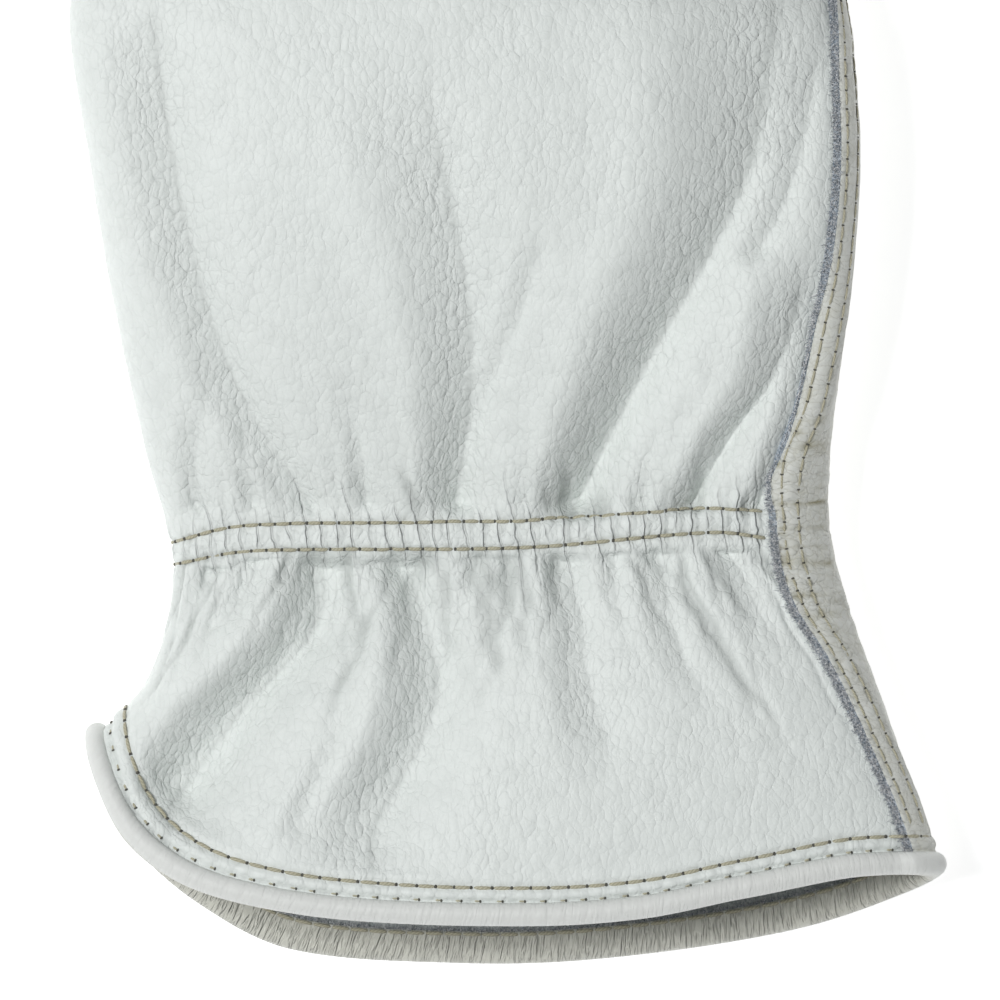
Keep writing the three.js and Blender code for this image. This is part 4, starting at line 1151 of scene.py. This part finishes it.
# The second colour is painted shade for the lip inside the cuff.
hem_leather = rolled_leather("hem_grain_leather", "#dfe1de", "#cfcfc5")
binding = mesh_object("hem_binding_roll", binding_points.reshape(-1, 3), binding_cells, raw.astype(int),
                      [hem_leather, flesh_side])
hem_mm = edge_phase(girth) * HEM_PITCH
profile_mm = lengths_along(np.stack([steps_in, steps_out[0]], -1))
mark_points(binding, hem_mm=np.repeat(hem_mm, len(fine_profile)),
            profile_mm=np.tile(profile_mm, len(girth)),
            lip=np.tile(smooth(fine_profile, *LIP_CORNERS), len(girth)))
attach(binding, "root")
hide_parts("hem_binding")

# The thread: khaki polyester in a lock stitch. Each stitch comes out of one needle hole, lies on the
# leather for a good two millimetres, and goes down the next.
STITCH_SIDES = 8
STITCH_RINGS = 9


def thread_material():
    """Khaki sewing thread of three twisted plies: the twist attribute drives a stripe and a bump. The
    stripe's dark tone is painted shade between the plies, and fine noise gives the thread's own
    uneven tone.
    """
    made, tree, place = new_material("khaki_thread")
    ply = maths(tree, "SINE", maths(tree, "MULTIPLY", attribute(tree, "twist"), TURN))
    fuzz = noise(tree, place, 0.12 * MM, 3.0).outputs["Fac"]
    # Painted shade: the ply stripe darkens the colour between the plies; the noise adds uneven tone.
    shade = maths(tree, "MULTIPLY_ADD", ply, 0.22, fuzz)
    finish_material(tree, {
        "Base Color": two_tone(tree, shade, "#86836c", "#cfcab2"),
        "Normal": bump(tree, shade, 0.06 * MM, 0.8), "Roughness": 0.6, "Sheen Weight": 0.3})
    return made


def painted_hole_shade_material():
    """Painted shade at a needle hole: dark, matt colour on a small tube across the hole."""
    made, tree, place = new_material("painted_hole_shade")
    tint = colour_ramp(tree, noise(tree, place, 0.2 * MM).outputs["Fac"], "#3c3b36", "#6b6a62")
    finish_material(tree, {"Base Color": tint, "Roughness": 1.0})
    return made


thread = thread_material()
painted_hole_shade = painted_hole_shade_material()


def tubes(spines, thick, right, up, sides):
    """Rings of points round each spine, as thick as given at each of its points and stretched along
    right and up, and the cells between the rings."""
    turn = TURN * np.arange(sides) / sides
    ring = right[:, None, None] * np.cos(turn)[:, None] + up[:, None, None] * np.sin(turn)[:, None]
    points = spines[:, :, None] + thick[:, None, None] * ring
    ids = np.arange(points[..., 0].size).reshape(points.shape[:3])
    ids = np.concatenate([ids, ids[:, :, :1]], 2)
    cells = np.stack([ids[:, :-1, :-1], ids[:, :-1, 1:], ids[:, 1:, 1:], ids[:, 1:, :-1]], -1)
    return points, cells.reshape(-1, 4)


def stitches(name, starts, ends, normals, radius, rise, material):
    """One mesh of threads: each a round tube bent up in an arc from its start to its end, thick in the
    middle and sunk at both ends. The twist attribute counts turns along the thread and round it."""
    share = np.linspace(0, 1, STITCH_RINGS)
    centre = starts[:, None] + (ends - starts)[:, None] * share[:, None]
    lift = rise * (1 - np.abs(2 * share - 1) ** 4) - 0.4 * radius
    centre = centre + normals[:, None] * lift[:, None]
    thick = radius * (0.55 + 0.45 * np.sin(math.pi * share) ** 0.5)
    aside = np.cross(normals, unit(ends - starts))
    points, cells = tubes(centre, thick, aside, normals * 0.8, STITCH_SIDES)
    made = mesh_object(name, points.reshape(-1, 3), cells, np.zeros(len(cells), int), [material])
    twist = share[:, None] * 4 + np.arange(STITCH_SIDES) / STITCH_SIDES * 3
    mark_points(made, twist=np.tile(twist.ravel(), len(starts)))
    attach(made, "root")
    return made


def lifted(place, first, second, lift):
    """Points of a surface given by two values, pushed out along its normals, and the normals."""
    step = 0.002
    across = place(first + step, second) - place(first - step, second)
    forward = place(first, second + step) - place(first, second - step)
    normal = unit(np.cross(across, forward))
    return place(first, second) + normal * lift[..., None], normal


def surface(girth, along, lift):
    """Points lifted from the middle surface of the hide on the hand, and the outward normals there."""
    def place(girth, along):
        return hand_point(girth, along, HAND_LENGTH)

    return lifted(place, girth, along, lift)


def lap_surface(share, row, lift):
    """The same on the lap, at a share of its cover from the raw edge, on the hand and up the little
    finger: rows are those of the hides."""
    def place(share, row):
        girth, angle = under_lap(np.minimum(row, 1), share), under_lap_angle(share)
        return hide_points(LITTLE, girth, angle, row, 0.0, -SEAM_GAP)

    return lifted(place, share, row, lift)


def seam_line(name, on, path, pitch, share, radius, rise):
    """A row of stitches and needle holes along a path on a surface: the path is cut into even pitches,
    a stitch covers a share of each, and a needle hole follows it, shown as a small dark tube of painted
    shade."""
    line, _ = on(*path)
    lengths = lengths_along(line)
    random = np.random.default_rng(len(name))
    begin = np.arange(pitch, lengths[-1] - pitch, pitch)
    begin = begin + random.normal(0, 0.05 * pitch, len(begin))
    (start, normal), (end, _), (hole, _) = (
        on(*(np.interp(begin + pitch * part, lengths, values) for values in path))
        for part in (0, share, share + 0.02))
    stitches(name, start, end, normal, radius, rise, thread)
    # Painted shade: a small dark tube lies across each needle hole.
    aside = np.cross(normal, unit(end - start)) * 0.28
    stitches(name + "_painted_hole_shades", hole - aside, hole + aside, normal, radius * 0.72, radius * 0.85, painted_hole_shade)


def grain_lift(girth, along, relief):
    """Height of the grain side above the middle surface, with a panel's relief."""
    return HIDE / 2 + relief(girth, along, hand_point(girth, along, HAND_LENGTH))


def lap_strip_relief(girth, along, points):
    """All the relief of the palm's hide on the lap."""
    return pebbles(points, 41) + cross_wrinkles(girth, along, points) + lap_relief(girth, along)


def hem_strip_relief(girth, along, points):
    """All the relief of the back's hide beside the hem."""
    return pebbles(points, 3) + hem_relief(girth, along)


shirr_girth = np.linspace(0.4125, 0.0, 500)
shirr_across = (1 - np.cos(TURN * shirr_girth)) / 2
for row in ("upper", "lower"):
    height = follow(SHIRRING, "across", row, shirr_across)
    along = height / np.where(height >= 0, HAND_LENGTH, cuff_reach(shirr_girth))
    path = (shirr_girth, along, grain_lift(shirr_girth, along, back_relief))
    seam_line("shirring_" + row, surface, path, STITCH_PITCH, 0.96, 0.28, 0.34)

lap_row = np.linspace(-0.93, 1.72, 1200)
for row, into in zip(("outer", "inner"), LAP_LINES):
    share = np.full_like(lap_row, into / LAP_COVER)
    low = np.minimum(lap_row, 1)
    lift = grain_lift(under_lap(low, share), low, lap_strip_relief)
    lift = np.where(lap_row < 0.97, lift, HIDE / 2 - 0.05) + LAP_RAISE
    seam_line("lap_" + row, lap_surface, (share, lap_row, lift), LAP_PITCH, 0.93, 0.19, 0.22)

# Each row of the hem: its place in mm from the folded edge, and the pitch, cover, radius and rise of
# its stitches
HEM_ROWS = (("groove", HEM_LINES[0] + 0.05, 3.0, 0.25, 0.2, 0.05),
            ("top", HEM_LINES[1], HEM_PITCH, 0.93, 0.28, 0.3))
hem_girth = np.linspace(-0.035, 0.965, 1500)
lap_start = lap_girth(-1.0)
over_lap = smooth(hem_girth, lap_start - 0.006, lap_start + 0.002)
over_lap = over_lap * smooth(hem_girth, under_lap(-1.0, 1.1), under_lap(-1.0, 0.95))
for row, from_edge, *stitch in HEM_ROWS:
    hem_along = -1 + from_edge / cuff_reach(hem_girth)
    lift = grain_lift(hem_girth, hem_along, hem_strip_relief) + 0.06 + LAP_RAISE * over_lap
    seam_line("hem_" + row, surface, (hem_girth, hem_along, lift), *stitch)


# The raw edge of the lap: the hide is cut with a knife and neither turned in nor painted, so loose
# fibres stand out of the blue-grey middle of the skin.
def fibres(name, roots, ahead, radius, material):
    """One mesh of fibres: each a three-sided spike of two lengths, bent at its middle."""
    random = np.random.default_rng(len(roots))
    bend = random.normal(0, 0.25, ahead.shape) * np.linalg.norm(ahead, axis=1, keepdims=True)
    spine = np.stack([roots, roots + ahead * 0.55 + bend * 0.3, roots + ahead + bend], 1)
    side = unit(np.cross(ahead, random.normal(0, 1, ahead.shape)))
    other = unit(np.cross(ahead, side))
    points, cells = tubes(spine, radius * np.array([1, 0.8, 0.3]), side, other, 3)
    made = mesh_object(name, points.reshape(-1, 3), cells[:, ::-1], np.zeros(len(cells), int), [material])
    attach(made, "root")
    return made


LAP_FIBRES = 10000
FUZZ_RADIUS = 0.055
edge_fuzz = suede("raw_edge_fibres", "#ffffff", "#75818d")
random = np.random.default_rng(7)
fuzz_row = random.uniform(-0.97, 1.75, LAP_FIBRES)
fuzz_into = random.uniform(0, 0.9, len(fuzz_row))
roots, normal = lap_surface(fuzz_into / LAP_COVER, fuzz_row, LAP_RAISE - 0.45 + fuzz_into)
low_edge, _ = lap_surface(np.zeros_like(fuzz_row), fuzz_row, np.full_like(fuzz_row, LAP_RAISE))
high_edge, _ = lap_surface(np.full_like(fuzz_row, 0.2), fuzz_row, np.full_like(fuzz_row, LAP_RAISE))
outwards = unit(low_edge - high_edge)
lean = outwards * random.uniform(0.1, 0.75, (len(roots), 1))
lean = lean + normal * random.uniform(0.05, 0.45, (len(roots), 1)) + random.normal(0, 0.25, roots.shape)
fibres("lap_edge_fibres", roots, lean * 0.85, FUZZ_RADIUS, edge_fuzz)

# The lip inside the roll: the inner layer of the rolled hide, held down by a row of olive thread. Its
# edge is cut and left raw, and pale fibres stand out of it.
lip_place = middle + inward * 2.35 - outward * 1.52
lip_lengths = lengths_along(lip_place)
LIP_FIBRES = 6000


def lip_points(at, into, below):
    """Points and inward-facing normals on the lip at lengths along the hem."""
    point, inner, outer = (
        np.stack([np.interp(at, lip_lengths, values[:, k]) for k in range(3)], -1)
        for values in (middle, inward, outward))
    return point + inner * into - outer * below, -outer


lip_starts = np.arange(1.0, lip_lengths[-1] - HEM_PITCH, HEM_PITCH)
start, normal = lip_points(lip_starts, 2.45, 1.5)
end, _ = lip_points(lip_starts + 0.92 * HEM_PITCH, 2.45, 1.5)
stitches("hem_inner", start, end, normal, 0.28, 0.34, thread)
fuzz_at = random.uniform(0, lip_lengths[-1], LIP_FIBRES)
roots, normal = lip_points(fuzz_at, 2.9, random.uniform(0.65, 1.4, (LIP_FIBRES, 1)))
deeper, _ = lip_points(fuzz_at, 3.9, 1.0)
shallow, _ = lip_points(fuzz_at, 2.9, 1.0)
lean = (deeper - shallow) * random.uniform(0.1, 0.7, (LIP_FIBRES, 1))
lean = lean + normal * random.uniform(-0.1, 0.4, (LIP_FIBRES, 1)) + random.normal(0, 0.25, roots.shape)
fibres("lip_edge_fibres", roots, lean * 0.9, FUZZ_RADIUS, edge_fuzz)
